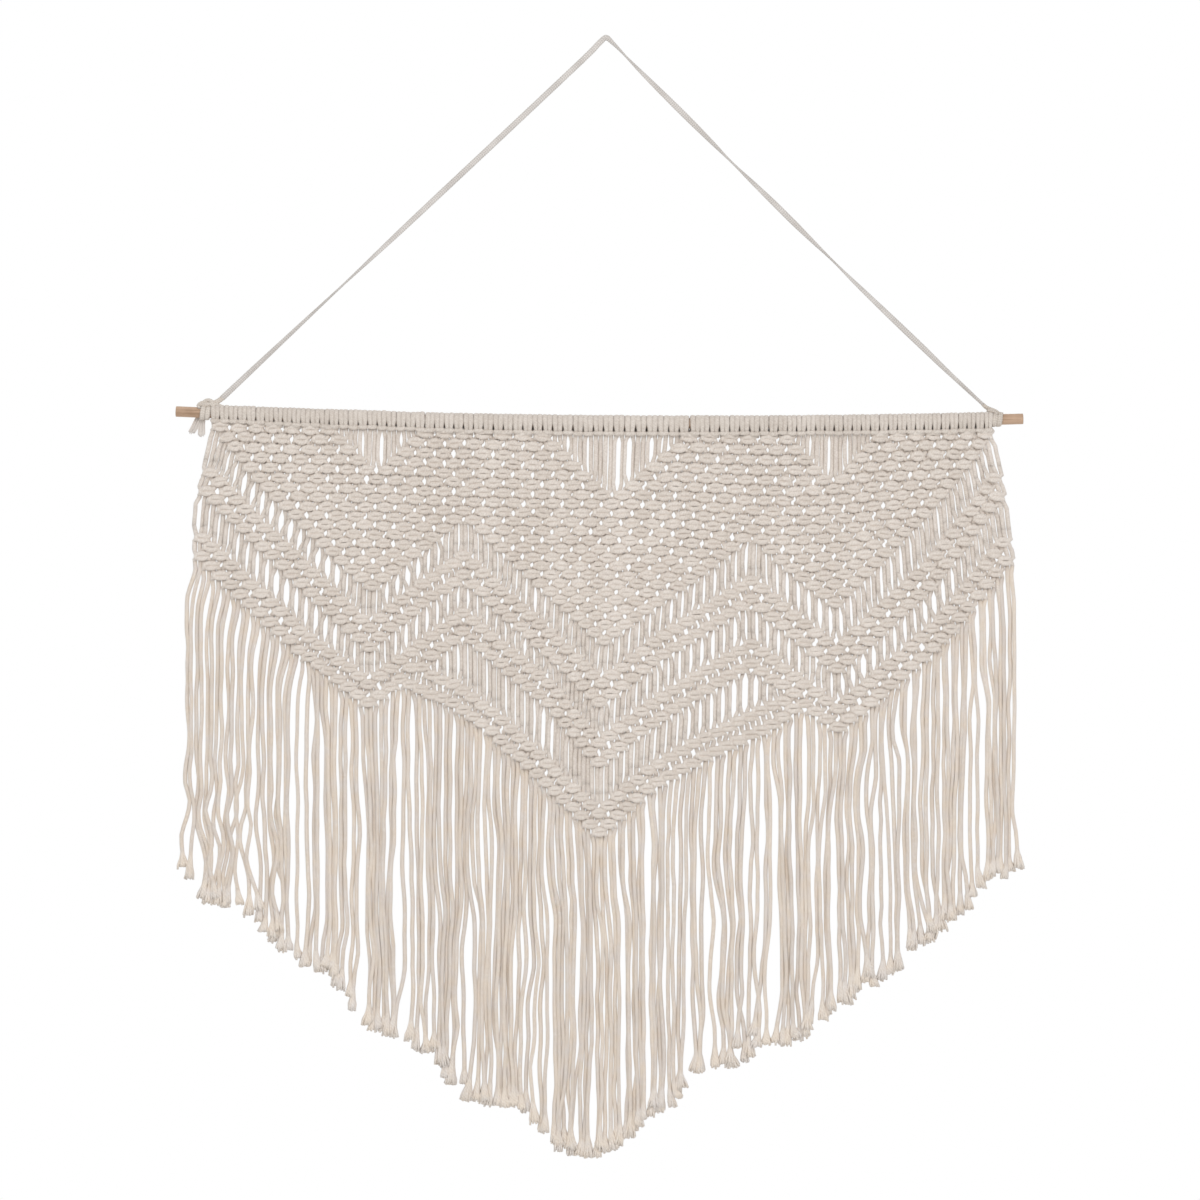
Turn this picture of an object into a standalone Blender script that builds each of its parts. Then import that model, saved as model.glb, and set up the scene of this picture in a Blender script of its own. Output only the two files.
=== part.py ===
"""Macrame wall hanging on a wooden rod.

Metres, +Z up, the front faces -Y. The origin is the point where the hanging
cord rests on its hook. Tables are in millimetres: "across" is X, counted from
the line of the hook, and "drop" is the distance below the hook.
"""
import math
import bpy
import bmesh
from mathutils import Vector

# ---------------------------------------------------------------- named sizes
MM = 0.001
GAP = 0.3                      # clearance between neighbouring pieces
STEP_GAP = 0.45                # the same clearance, measured down a slanting edge

ROD_RADIUS = 6.25
ROD_LEFT, ROD_RIGHT = -507.7, 492.3
ROD_DROP_LEFT, ROD_DROP_RIGHT = 438.4, 447.1
ROD_SAG = 9.1                  # bow of the dowel under the load
ROD_SPANS = 12
ROUND_SIDES = 6                # bevel_resolution of the rod and the heading: 16 sides

WRAP_RADIUS = 9.3              # outside of the lark's heads
HEAD_LEFT, HEAD_RIGHT = -468.7, 456.3
BAR_FOOT = 13.4                # lower edge of the row of lark's head bars, below the rod's axis
BAR_HALF = 5.0                 # half thickness of that row

KNOT_HALF = 6.0                # half thickness of knotted cloth
CORD_HALF = 2.75               # half thickness of the unknotted cords
PLAIN_HALF = 4.0               # half thickness in the three plain triangles
BAND_HALF = 18.7               # half height of a band of two diagonal rows of knots

COLUMNS = 82                   # half columns of knots across the net
SLIT_WIDTH = 5.2
SLIT_POINT = 4.0               # length of a slit's pointed ends
SLIT_EDGE = 3.5                # least cloth above and below a slit

TOOTH_ROOT = 15.0              # where the fringe parts, below the last knots
ROOT_WIDTH = 3.0               # width of that parting at its top

CORD_RADIUS = 3.25             # flat braid, as the round tube that it fills
CORD_POINTS = 37                 # along each arm of the hanging cord

# Where a column of knots runs: across, at six drops.
COLUMN_DROPS = (460, 543, 614, 708, 803, 921)
COLUMN_LINES = [
    # column, across at each of COLUMN_DROPS
    (0, (-468, -487, -491, -492, -494, -501)),
    (10, (-360, -363, -370, -370, -376, -376)),
    (18, (-270, -272, -275, -279, -281, -281)),
    (27, (-168, -168, -168, -169, -168, -168)),
    (36, (-63, -63, -64, -68, -68, -72)),
    (42, (9, 7, 2, -2, -9, -8)),
    (48, (87, 81, 76, 68, 67, 60)),
    (56, (181, 175, 171, 172, 171, 171)),
    (64, (269, 268, 269, 272, 274, 274)),
    (73, (365, 372, 377, 384, 384, 384)),
    (82, (457, 476, 484, 488, 485, 486)),
]

# Corners of the zigzags: column, drop.
PANEL_FOOT = [(0, 461), (1, 464), (18, 652), (27, 563), (42, 715), (56, 586), (64, 671),
              (81, 474), (82, 470)]
BAND_A = [(1, 522), (18, 705), (20, 682), (23, 653), (27, 620), (31, 661), (42, 770),
          (47, 722), (56, 649), (64, 731), (68, 687), (73, 633), (81, 528)]
BAND_B = [(1, 599), (11, 708), (17, 761), (18, 771), (27, 687), (36, 771), (42, 841),
          (47, 795), (50, 770), (56, 724), (64, 800), (68, 760), (75, 684), (81, 604)]
BAND_C = [(21, 741), (22, 749), (24, 761), (26, 771), (27, 779), (30, 804), (36, 865),
          (42, 924), (47, 873), (52, 834), (56, 809), (58, 797), (61, 769)]

# Plain triangles of unknotted cord under the heading: across, half width, drop of the point.
TRIANGLES = [(-269, 44, 509), (4, 70, 543), (269, 44, 519)]

# The widest slits of each strip: across, drop of the top, drop of the foot.
SLITS = {
    "cords_upper": [
        (-427, 509, 540), (-416, 519, 550), (-405, 531, 563), (-394, 544, 574),
        (-373, 567, 597), (-340, 599, 629), (-329, 608, 636), (-259, 642, 663),
        (-247, 632, 656), (-234, 621, 646), (-222, 610, 636), (255, 662, 693),
        (269, 671, 701)],
    "cords_middle": [
        (-412, 610, 636), (-401, 621, 648), (-390, 633, 660), (-379, 645, 672),
        (-368, 654, 680), (-357, 663, 691), (-345, 674, 699), (-333, 684, 708),
        (-321, 694, 717), (-251, 698, 721), (-238, 689, 712), (241, 727, 751),
        (292, 736, 763), (304, 725, 752), (377, 658, 691)],
    "cords_lower": [
        (-74, 785, 835), (124, 773, 809), (139, 765, 802), (155, 757, 799)],
}

# One row for each tooth of the fringe: left and right edge at its foot,
# and the drop of its foot at those edges.
TEETH = [
    (-496, -485, 991, 991), (-475, -436, 1018, 1021), (-429, -413, 1028, 1032),
    (-408, -399, 1045, 1057), (-393, -375, 1060, 1071), (-367, -340, 1080, 1103),
    (-329, -283, 1098, 1155), (-273, -251, 1169, 1176), (-241, -216, 1181, 1198),
    (-210, -177, 1198, 1234), (-170, -146, 1242, 1251), (-138, -110, 1256, 1259),
    (-98, -58, 1264, 1305), (-53, -17, 1310, 1323), (-12, 30, 1325, 1293),
    (34, 47, 1284, 1280), (54, 94, 1275, 1234), (99, 126, 1220, 1218),
    (135, 163, 1216, 1204), (170, 187, 1199, 1183), (204, 222, 1183, 1187),
    (227, 240, 1174, 1169), (246, 264, 1164, 1157), (274, 305, 1138, 1122),
    (310, 347, 1116, 1096), (355, 393, 1078, 1051), (400, 431, 1040, 1024),
    (436, 445, 1004, 992), (450, 490, 991, 975)]

# Route of the hanging cord: across, drop.
CORD_ROUTE = [
    (-453.2, 422.8), (-405.0, 377.5), (-354.0, 329.6), (-278.6, 259.3), (-204.0, 189.3),
    (-129.3, 119.2), (-54.3, 48.6), (-26.0, 21.8), (-14.4, 10.4), (-9.4, 4.9), (-5.9, 1.5),
    (-2.6, -1.7), (0.0, -3.1), (2.6, -1.8), (5.9, 1.3), (9.4, 4.7), (14.4, 9.7),
    (26.0, 21.9), (51.4, 47.6), (122.6, 118.3), (195.2, 189.4),
    (267.4, 260.2), (340.4, 331.0), (400.0, 388.2), (445.1, 430.2)]

# Knot on the left: across, drop, depth behind the rod's axis, radius.
LEFT_WRAP = (-478.9, -469.0)
LEFT_LUMP = [(-481.0, 430.3, 0.0, 4.6), (-476.0, 427.6, 0.0, 5.0), (-468.5, 426.2, 0.0, 3.6),
             (-461.0, 426.2, 0.0, 3.2), (-457.6, 425.3, 0.0, 3.2), (-455.3, 423.9, 0.0, 3.2)]
LEFT_TAILS = [
    [(-475.5, 442.6, 8.6, 2.8), (-480.3, 448.5, 7.6, 2.9), (-484.6, 457.0, 4.2, 3.2),
     (-489.4, 466.6, 1.5, 4.0)],
    [(-473.4, 443.4, 8.4, 2.8), (-473.6, 450.0, 7.0, 2.8), (-474.4, 459.5, 3.4, 3.2),
     (-476.2, 469.0, 1.0, 3.9)],
]
# Wraps on the right.
RIGHT_WRAP = (456.6, 467.2)
RIGHT_LUMP = [(446.4, 431.2, 0.0, 3.1), (449.6, 433.5, 0.0, 3.1), (454.0, 434.6, 0.0, 3.1),
              (458.4, 436.6, 0.0, 3.2), (461.5, 440.4, 0.0, 3.4)]

COLOURS = {
    # slot: colour, roughness
    "wood": ((0.50, 0.34, 0.22, 1.0), 0.62),
    "cotton": ((0.68, 0.62, 0.55, 1.0), 0.95),
    "braid": ((0.60, 0.57, 0.53, 1.0), 0.90),
}


# ------------------------------------------------------------------ geometry
def lerp(a, b, t):
    return a + (b - a) * t


def along(table, key):
    """Value at key of a table of (key, value) rows, on straight lines."""
    if key <= table[0][0]:
        (k0, v0), (k1, v1) = table[0], table[1]
    elif key >= table[-1][0]:
        (k0, v0), (k1, v1) = table[-2], table[-1]
    else:
        for (k0, v0), (k1, v1) in zip(table, table[1:]):
            if k0 <= key <= k1:
                break
    return lerp(v0, v1, (key - k0) / (k1 - k0))


def column_across(column, drop):
    """Where a column of knots is at a drop, in millimetres across."""
    return along([(c, along(list(zip(COLUMN_DROPS, row)), clamp_drop(drop)))
                  for c, row in COLUMN_LINES], column)


def clamp_drop(drop):
    return min(max(drop, COLUMN_DROPS[0]), COLUMN_DROPS[-1])


def column_at(across, drop):
    low, high = -2.0, COLUMNS + 2.0
    for _ in range(40):
        mid = (low + high) / 2
        if column_across(mid, drop) < across:
            low = mid
        else:
            high = mid
    return (low + high) / 2


ROD_STATIONS = []
for i in range(ROD_SPANS + 1):
    u = i / ROD_SPANS
    ROD_STATIONS.append((lerp(ROD_LEFT, ROD_RIGHT, u),
                         lerp(ROD_DROP_LEFT, ROD_DROP_RIGHT, u) + ROD_SAG * (1 - (2 * u - 1) ** 2)))


def rod_drop(across):
    return along(ROD_STATIONS, across)


# Edges of the pieces of the net, as drops at a column.
def panel_top(column):
    across = column_across(column, 460)
    return rod_drop(across) + BAR_FOOT + GAP


def panel_foot(column):
    return along(PANEL_FOOT, column)


def band_a_top(column):
    return along(BAND_A, column) - BAND_HALF


def band_a_foot(column):
    return along(BAND_A, column) + BAND_HALF


def band_b_top(column):
    return along(BAND_B, column) - BAND_HALF


def band_b_foot(column):
    return along(BAND_B, column) + BAND_HALF


def band_c_top(column):
    return along(BAND_C, column) - BAND_HALF


def band_c_foot(column):
    return along(BAND_C, column) + BAND_HALF


def cross_column(upper, lower, low, high):
    """Column between low and high where two edges cross."""
    sign = upper(low) < lower(low)
    for _ in range(40):
        mid = (low + high) / 2
        if (upper(mid) < lower(mid)) == sign:
            low = mid
        else:
            high = mid
    return (low + high) / 2


TIP_LEFT = cross_column(band_b_foot, lambda c: band_c_foot(c) - 3.0, 20.0, 24.0)
TIP_RIGHT = cross_column(band_b_foot, lambda c: band_c_foot(c) - 3.0, 62.0, 58.0)
HOLE_LEFT = cross_column(lambda c: band_b_foot(c) + 3.0, band_c_top, 22.0, 27.0)
HOLE_RIGHT = cross_column(lambda c: band_b_foot(c) + 3.0, band_c_top, 60.5, 55.0)


def tip_top(column):
    """Upper edge of the V band: its own, or the foot of band B where they meet."""
    if HOLE_LEFT + 0.2 < column < HOLE_RIGHT - 0.2:
        return band_c_top(column)
    return band_b_foot(column) + STEP_GAP


def fringe_top(column):
    if TIP_LEFT <= column <= TIP_RIGHT:
        return max(band_c_foot(column), band_b_foot(column))
    return band_b_foot(column)


def stations(low, high, *tables):
    """Columns to sample: every third, and each corner of the tables."""
    keys = {low, high}
    keys.update(c for c in range(0, COLUMNS + 1, 3))
    for table in tables:
        keys.update(row[0] for row in table)
    inside = sorted(k for k in keys if low <= k <= high)
    kept = [inside[0]]
    for k in inside[1:]:
        if k - kept[-1] > 0.2:
            kept.append(k)
    if high - kept[-1] > 1e-6:
        kept[-1] = high
    return kept


def edge(columns, drop_of, shift=0.0):
    """Points (across, drop) along an edge of the net."""
    out = []
    for c in columns:
        d = drop_of(c) + shift
        out.append((column_across(c, d), d))
    return out


def side(column, drop_from, drop_to):
    """Points down the left or right edge of the net, ends left out."""
    out = []
    for d in COLUMN_DROPS:
        if drop_from + 4 < d < drop_to - 4:
            out.append((column_across(column, d), d))
    return out


def strip(columns, top, foot):
    """Closed outline between an upper and a lower edge."""
    upper = edge(columns, top)
    lower = edge(columns, foot)
    right = side(columns[-1], upper[-1][1], lower[-1][1])
    left = side(columns[0], upper[0][1], lower[0][1])
    return upper + right + lower[::-1] + left[::-1]


def slit_shape(across, drop_top, drop_foot):
    """A slit with pointed ends, as the cords part and meet."""
    half = SLIT_WIDTH / 2
    return [(across, drop_top), (across + half * 0.7, drop_top + SLIT_POINT * 0.4),
            (across + half, drop_top + SLIT_POINT), (across + half, drop_foot - SLIT_POINT),
            (across + half * 0.7, drop_foot - SLIT_POINT * 0.4), (across, drop_foot),
            (across - half * 0.7, drop_foot - SLIT_POINT * 0.4),
            (across - half, drop_foot - SLIT_POINT), (across - half, drop_top + SLIT_POINT),
            (across - half * 0.7, drop_top + SLIT_POINT * 0.4)]


def slit_span(name, row, top, foot):
    """Drops of a slit's ends, kept inside its strip."""
    across, d0, d1 = row
    c = column_at(across, (d0 + d1) / 2)
    return max(d0, top(c) + SLIT_EDGE), min(d1, foot(c) - SLIT_EDGE)


STRIP_EDGES = {
    "cords_upper": (lambda c: panel_foot(c) + STEP_GAP, lambda c: band_a_top(c) - STEP_GAP),
    "cords_middle": (lambda c: band_a_foot(c) + STEP_GAP, lambda c: band_b_top(c) - STEP_GAP),
    "cords_lower": (lambda c: band_b_foot(c) + STEP_GAP, lambda c: band_c_top(c) - STEP_GAP),
}


def slit_list(name):
    top, foot = STRIP_EDGES[name]
    out = []
    for row in SLITS[name]:
        d0, d1 = slit_span(name, row, top, foot)
        out.append((row[0], d0, d1))
    return out


def fringe_outline():
    """The comb: along the last knots, then round each tooth from right to left."""
    columns = stations(0, COLUMNS, BAND_B, BAND_C, [(TIP_LEFT, 0), (TIP_RIGHT, 0)])
    upper = edge(columns, fringe_top, STEP_GAP)
    outline = list(upper)
    outline += side(COLUMNS, upper[-1][1], 921)
    for i in range(len(TEETH) - 1, -1, -1):
        left, right, foot_left, foot_right = TEETH[i]
        outline.append((right, foot_right - 3))
        outline.append((right - 1.5, foot_right))
        outline.append((left + 1.5, foot_left))
        outline.append((left, foot_left - 3))
        if i:
            middle = (left + TEETH[i - 1][1]) / 2
            root = fringe_root(middle)
            outline.append((middle + ROOT_WIDTH / 2, root + 6))
            outline.append((middle, root))
            outline.append((middle - ROOT_WIDTH / 2, root + 6))
    outline += side(0, upper[0][1], 921)[::-1]
    return outline


def fringe_root(across):
    drop = 800.0
    for _ in range(30):
        drop = fringe_top(column_at(across, drop))
    return drop + TOOTH_ROOT


# --------------------------------------------------------------- Blender work
for old in list(bpy.data.objects):
    bpy.data.objects.remove(old, do_unlink=True)

parts = bpy.data.collections.new("macrame_wall_hanging")
cutters = bpy.data.collections.new("cutters")
bpy.context.scene.collection.children.link(parts)
bpy.context.scene.collection.children.link(cutters)


def material(slot):
    found = bpy.data.materials.get(slot)
    if found:
        return found
    colour, rough = COLOURS[slot]
    made = bpy.data.materials.new(slot)
    made.use_nodes = True
    shader = made.node_tree.nodes["Principled BSDF"]
    shader.inputs["Base Color"].default_value = colour
    shader.inputs["Roughness"].default_value = rough
    shader.inputs["Metallic"].default_value = 0.0
    return made


def place(across, drop, depth=0.0):
    return Vector((across * MM, depth * MM, -drop * MM))


def outline_object(name, outline, half, slot, holes=(), collection=None):
    """A flat outline with its holes, upright in XZ, of thickness 2 * half."""
    curve = bpy.data.curves.new(name, "CURVE")
    curve.dimensions = "2D"
    curve.fill_mode = "BOTH"
    curve.extrude = half * MM
    for ring in [outline] + list(holes):
        spline = curve.splines.new("POLY")
        spline.points.add(len(ring) - 1)
        for point, (across, drop) in zip(spline.points, ring):
            point.co = (across * MM, -drop * MM, 0.0, 1.0)
        spline.use_cyclic_u = True
    made = bpy.data.objects.new(name, curve)
    made.rotation_euler = (math.radians(90), 0.0, 0.0)
    (collection or parts).objects.link(made)
    if slot:
        curve.materials.append(material(slot))
    return made


def tube_object(name, rows, slot, resolution, collection=None, radius=None):
    """A tube on a POLY spline: rows of across, drop, depth, radius."""
    curve = bpy.data.curves.new(name, "CURVE")
    curve.dimensions = "3D"
    curve.bevel_depth = MM
    curve.bevel_resolution = resolution
    curve.use_fill_caps = True
    spline = curve.splines.new("POLY")
    spline.points.add(len(rows) - 1)
    for point, row in zip(spline.points, rows):
        across, drop, depth, r = row
        point.co = (*place(across, drop, depth), 1.0)
        point.radius = radius if radius is not None else r
    made = bpy.data.objects.new(name, curve)
    (collection or parts).objects.link(made)
    if slot:
        curve.materials.append(material(slot))
    return made


def as_mesh(curve_object):
    """The curve's surface as a welded mesh object of the same name."""
    bpy.context.view_layer.update()
    graph = bpy.context.evaluated_depsgraph_get()
    mesh = bpy.data.meshes.new_from_object(curve_object.evaluated_get(graph))
    work = bmesh.new()
    work.from_mesh(mesh)
    bmesh.ops.remove_doubles(work, verts=work.verts, dist=0.000005)
    bmesh.ops.recalc_face_normals(work, faces=work.faces)
    work.to_mesh(mesh)
    work.free()
    name = curve_object.name
    home = curve_object.users_collection[0]
    matrix = curve_object.matrix_world.copy()
    bpy.data.objects.remove(curve_object, do_unlink=True)
    made = bpy.data.objects.new(name, mesh)
    made.matrix_world = matrix
    home.objects.link(made)
    return made


def hide_cutter(cutter):
    cutter.hide_render = True
    cutter.display_type = "WIRE"
    return cutter


def boolean(target, other, operation):
    step = target.modifiers.new(operation.lower() + "_" + other.name, "BOOLEAN")
    step.operation = operation
    step.solver = "EXACT"
    step.object = hide_cutter(other)


def smooth(made, degrees=40):
    made.data.shade_smooth()
    made.data.set_sharp_from_angle(angle=math.radians(degrees))
    return made


def rod_rows(left, right, radius, inside=True):
    """Stations of a tube round the dowel between two distances across."""
    rows = [(left, rod_drop(left), 0.0, radius)]
    rows += [(x, d, 0.0, radius) for x, d in ROD_STATIONS if inside and left + 1 < x < right - 1]
    rows.append((right, rod_drop(right), 0.0, radius))
    return rows


# The dowel.
rod = as_mesh(tube_object("rod", rod_rows(ROD_LEFT, ROD_RIGHT, ROD_RADIUS), "wood", ROUND_SIDES))
smooth(rod)

# Room for the dowel, in whatever wraps it.
room = as_mesh(tube_object("rod_room", rod_rows(ROD_LEFT - 20, ROD_RIGHT + 20, ROD_RADIUS + GAP),
                           None, ROUND_SIDES, cutters))
hide_cutter(room)

# Heading: the lark's heads as a sleeve, with the row of their bars under it.
heading = as_mesh(tube_object("heading", rod_rows(HEAD_LEFT, HEAD_RIGHT, WRAP_RADIUS),
                              "cotton", ROUND_SIDES))
bar_x = [HEAD_LEFT + 4] + [x for x, _ in ROD_STATIONS if HEAD_LEFT + 5 < x < HEAD_RIGHT - 2] + \
        [HEAD_RIGHT - 1.0]
bar = as_mesh(outline_object(
    "heading_bars",
    [(x, rod_drop(x) + ROD_RADIUS + 1.2) for x in bar_x] +
    [(x, rod_drop(x) + BAR_FOOT) for x in reversed(bar_x)],
    BAR_HALF, None, collection=cutters))
boolean(heading, bar, "UNION")
boolean(heading, room, "DIFFERENCE")
smooth(heading)

# Upper panel of square knots, with three plain triangles of thinner cords.
columns = stations(0, COLUMNS, PANEL_FOOT)
net_upper = as_mesh(outline_object("net_upper", strip(columns, panel_top, panel_foot),
                                   KNOT_HALF, "cotton"))
for number, (across, half_width, foot) in enumerate(TRIANGLES, 1):
    top = rod_drop(across) + BAR_FOOT - 6
    for face, side_name in ((-1, "front"), (1, "back")):
        ring = [(across - half_width, top), (across + half_width, top), (across, foot)]
        cut = outline_object("triangle_%d_%s" % (number, side_name), ring,
                             KNOT_HALF / 2, None, collection=cutters)
        cut.location.y = face * (PLAIN_HALF + KNOT_HALF / 2) * MM
        boolean(net_upper, as_mesh(cut), "DIFFERENCE")

# Strips of unknotted pairs, with their slits.
for name, table_top, table_foot in (("cords_upper", PANEL_FOOT, BAND_A),
                                    ("cords_middle", BAND_A, BAND_B)):
    top, foot = STRIP_EDGES[name]
    outline_object(name, strip(stations(0, COLUMNS, table_top, table_foot), top, foot),
                   CORD_HALF, "cotton", holes=[slit_shape(*row) for row in slit_list(name)])
top, foot = STRIP_EDGES["cords_lower"]
outline_object("cords_lower",
               strip(stations(HOLE_LEFT + 0.45, HOLE_RIGHT - 0.45, BAND_B, BAND_C), top, foot),
               CORD_HALF, "cotton", holes=[slit_shape(*row) for row in slit_list("cords_lower")])

# Bands of diagonal square knots.
outline_object("net_middle", strip(stations(0, COLUMNS, BAND_A), band_a_top, band_a_foot),
               KNOT_HALF, "cotton")
outline_object("net_lower", strip(stations(0, COLUMNS, BAND_B), band_b_top, band_b_foot),
               KNOT_HALF, "cotton")
outline_object("net_tip", strip(stations(TIP_LEFT, TIP_RIGHT, BAND_B, BAND_C,
                                         [(HOLE_LEFT, 0), (HOLE_LEFT + 0.4, 0),
                                          (HOLE_RIGHT - 0.4, 0), (HOLE_RIGHT, 0)]),
                               tip_top, band_c_foot),
               KNOT_HALF, "cotton")

# Fringe.
outline_object("fringe", fringe_outline(), CORD_HALF, "cotton")


# Hanging cord: a smooth curve through its route, read at even steps.
def catmull(points, per_span=24):
    out = []
    padded = [points[0] * 2 - points[1]] + points + [points[-1] * 2 - points[-2]]
    for i in range(1, len(padded) - 2):
        p0, p1, p2, p3 = padded[i - 1:i + 3]
        t0 = 0.0
        t1 = t0 + max((p1 - p0).length, 1e-9) ** 0.5
        t2 = t1 + max((p2 - p1).length, 1e-9) ** 0.5
        t3 = t2 + max((p3 - p2).length, 1e-9) ** 0.5
        for k in range(per_span):
            t = lerp(t1, t2, k / per_span)
            a1 = p0 * ((t1 - t) / (t1 - t0)) + p1 * ((t - t0) / (t1 - t0))
            a2 = p1 * ((t2 - t) / (t2 - t1)) + p2 * ((t - t1) / (t2 - t1))
            a3 = p2 * ((t3 - t) / (t3 - t2)) + p3 * ((t - t2) / (t3 - t2))
            b1 = a1 * ((t2 - t) / (t2 - t0)) + a2 * ((t - t0) / (t2 - t0))
            b2 = a2 * ((t3 - t) / (t3 - t1)) + a3 * ((t - t1) / (t3 - t1))
            out.append(b1 * ((t2 - t) / (t2 - t1)) + b2 * ((t - t1) / (t2 - t1)))
    out.append(padded[-2])
    return out


def even(points, count):
    lengths = [0.0]
    for a, b in zip(points, points[1:]):
        lengths.append(lengths[-1] + (b - a).length)
    out, j = [], 0
    for i in range(count):
        want = lengths[-1] * i / (count - 1)
        while j < len(points) - 2 and lengths[j + 1] < want:
            j += 1
        span = lengths[j + 1] - lengths[j]
        out.append(points[j].lerp(points[j + 1], (want - lengths[j]) / span if span else 0.0))
    return out


# The bend over the hook keeps the points of its route, so that its inside meets the origin.
route = [Vector((x, d, 0.0)) for x, d in CORD_ROUTE]
bend = [i for i, p in enumerate(route) if abs(p.x) < 15.0]
route = (even(catmull(route[:bend[0] + 1]), CORD_POINTS) + route[bend[0] + 1:bend[-1]]
         + even(catmull(route[bend[-1]:]), CORD_POINTS))
tube_object("hanging_cord", [(p.x, p.y, p.z, CORD_RADIUS) for p in route], "braid", 2)

# Knots of the hanging cord on the dowel.
def knot(name, wrap, lump, tails):
    ring = as_mesh(tube_object(name, rod_rows(wrap[0], wrap[1], WRAP_RADIUS + 0.4, False),
                               "braid", 4))
    bevel_parts = [as_mesh(tube_object(name + "_lump", lump, None, 3, cutters))]
    for number, rows in enumerate(tails, 1):
        bevel_parts.append(as_mesh(tube_object("%s_tail_%d" % (name, number), rows, None, 2,
                                               cutters)))
    for piece in bevel_parts:
        boolean(ring, piece, "UNION")
    boolean(ring, room, "DIFFERENCE")
    smooth(ring)
    return ring


knot("tie_left", LEFT_WRAP, LEFT_LUMP, LEFT_TAILS)
knot("tie_right", RIGHT_WRAP, RIGHT_LUMP, [])
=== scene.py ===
import math

import bpy
import numpy as np
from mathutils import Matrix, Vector


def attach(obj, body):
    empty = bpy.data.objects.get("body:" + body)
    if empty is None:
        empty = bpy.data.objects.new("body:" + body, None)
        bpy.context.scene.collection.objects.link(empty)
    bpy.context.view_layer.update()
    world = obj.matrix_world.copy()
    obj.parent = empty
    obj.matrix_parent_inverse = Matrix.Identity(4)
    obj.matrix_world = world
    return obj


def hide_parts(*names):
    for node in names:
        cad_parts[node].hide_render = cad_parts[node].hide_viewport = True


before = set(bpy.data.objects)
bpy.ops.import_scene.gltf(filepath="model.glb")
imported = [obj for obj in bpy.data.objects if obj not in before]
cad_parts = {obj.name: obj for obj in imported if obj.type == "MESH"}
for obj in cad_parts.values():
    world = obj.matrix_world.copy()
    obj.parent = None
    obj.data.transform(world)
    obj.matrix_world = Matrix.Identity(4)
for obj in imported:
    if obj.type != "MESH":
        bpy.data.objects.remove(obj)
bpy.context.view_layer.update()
rng = np.random.default_rng(20)
own_rng = np.random.default_rng(31)

# ----------------------------------------------------------------------------
# Sizes, in millimetres. "across" is X from the hook, "drop" is below the hook,
# "front" is towards the viewer (-Y).
# ----------------------------------------------------------------------------
MM = 0.001
ROD_RADIUS = 6.25
ROD_LEFT, ROD_RIGHT = -507.7, 492.3
ROD_DROP_LEFT, ROD_DROP_RIGHT, ROD_SAG = 438.4, 447.1, 9.1
COLUMNS = 82
HEADS = 82

R_KNOT = 2.80          # cord in the knots
R_LOOSE = 2.95         # unknotted cord that lies slack
R_TIGHT = 2.20         # unknotted cord pulled into a pair
R_FRINGE = 2.56        # hanging ends
HALF_KNOT = 5.9        # half height of a square knot's path
DEPTH = 4.3            # how far the working cords stand in front of and behind the core

COLUMN_DROPS = (460, 543, 614, 708, 803, 921)
COLUMN_LINES = [
    # column, across at each of COLUMN_DROPS
    (0, (-466, -485, -490, -494, -496, -499)),
    (10, (-360, -363, -370, -373, -378, -378)),
    (18, (-270, -272, -275, -279, -281, -281)),
    (27, (-168, -168, -168, -169, -168, -168)),
    (36, (-63, -63, -64, -68, -68, -72)),
    (42, (9, 7, 2, -2, -9, -8)),
    (48, (87, 81, 76, 68, 66, 57)),
    (56, (181, 175, 171, 172, 170, 168)),
    (64, (269, 268, 269, 272, 274, 274)),
    (73, (365, 373, 379, 385, 385, 385)),
    (82, (456, 474, 482, 487, 484, 485)),
]
# Drop of the first row of knots, at a column.
FIRST_ROW = [(0, 454.5), (2, 457), (10, 460), (18, 461.5), (26, 465), (34, 467.5), (42, 468.5),
             (50, 469.5), (58, 472), (66, 470), (72, 467.5), (82, 465)]
ROW_PITCH, ROW_CLOSING = 11.75, 0.059
# Last row of knots in the panel, at a column.
PANEL_ROWS = [(1, 0), (18, 17), (27, 8), (42, 23), (56, 9), (64, 17), (81, 0)]
# Plain triangles under the heading: column, rows.
PLAIN = [(18, 5), (42, 7), (64, 5)]
# Bands of two diagonal rows: column, drop of the middle.
BAND_A = [(1, 522), (18, 705), (20, 682), (23, 653), (27, 620), (31, 661), (42, 770),
          (47, 722), (56, 649), (64, 731), (68, 687), (73, 633), (81, 528)]
BAND_B = [(1, 599), (11, 708), (17, 761), (18, 771), (27, 687), (36, 771), (42, 841),
          (47, 795), (50, 770), (56, 724), (64, 800), (68, 760), (75, 684), (81, 604)]
BAND_C = [(21, 741), (22, 749), (24, 761), (26, 771), (27, 779), (30, 804), (36, 865),
          (42, 924), (47, 873), (52, 834), (56, 809), (58, 797), (61, 769)]
ROW_HALF = 11.0        # a band's rows lie this far above and below its middle

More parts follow.
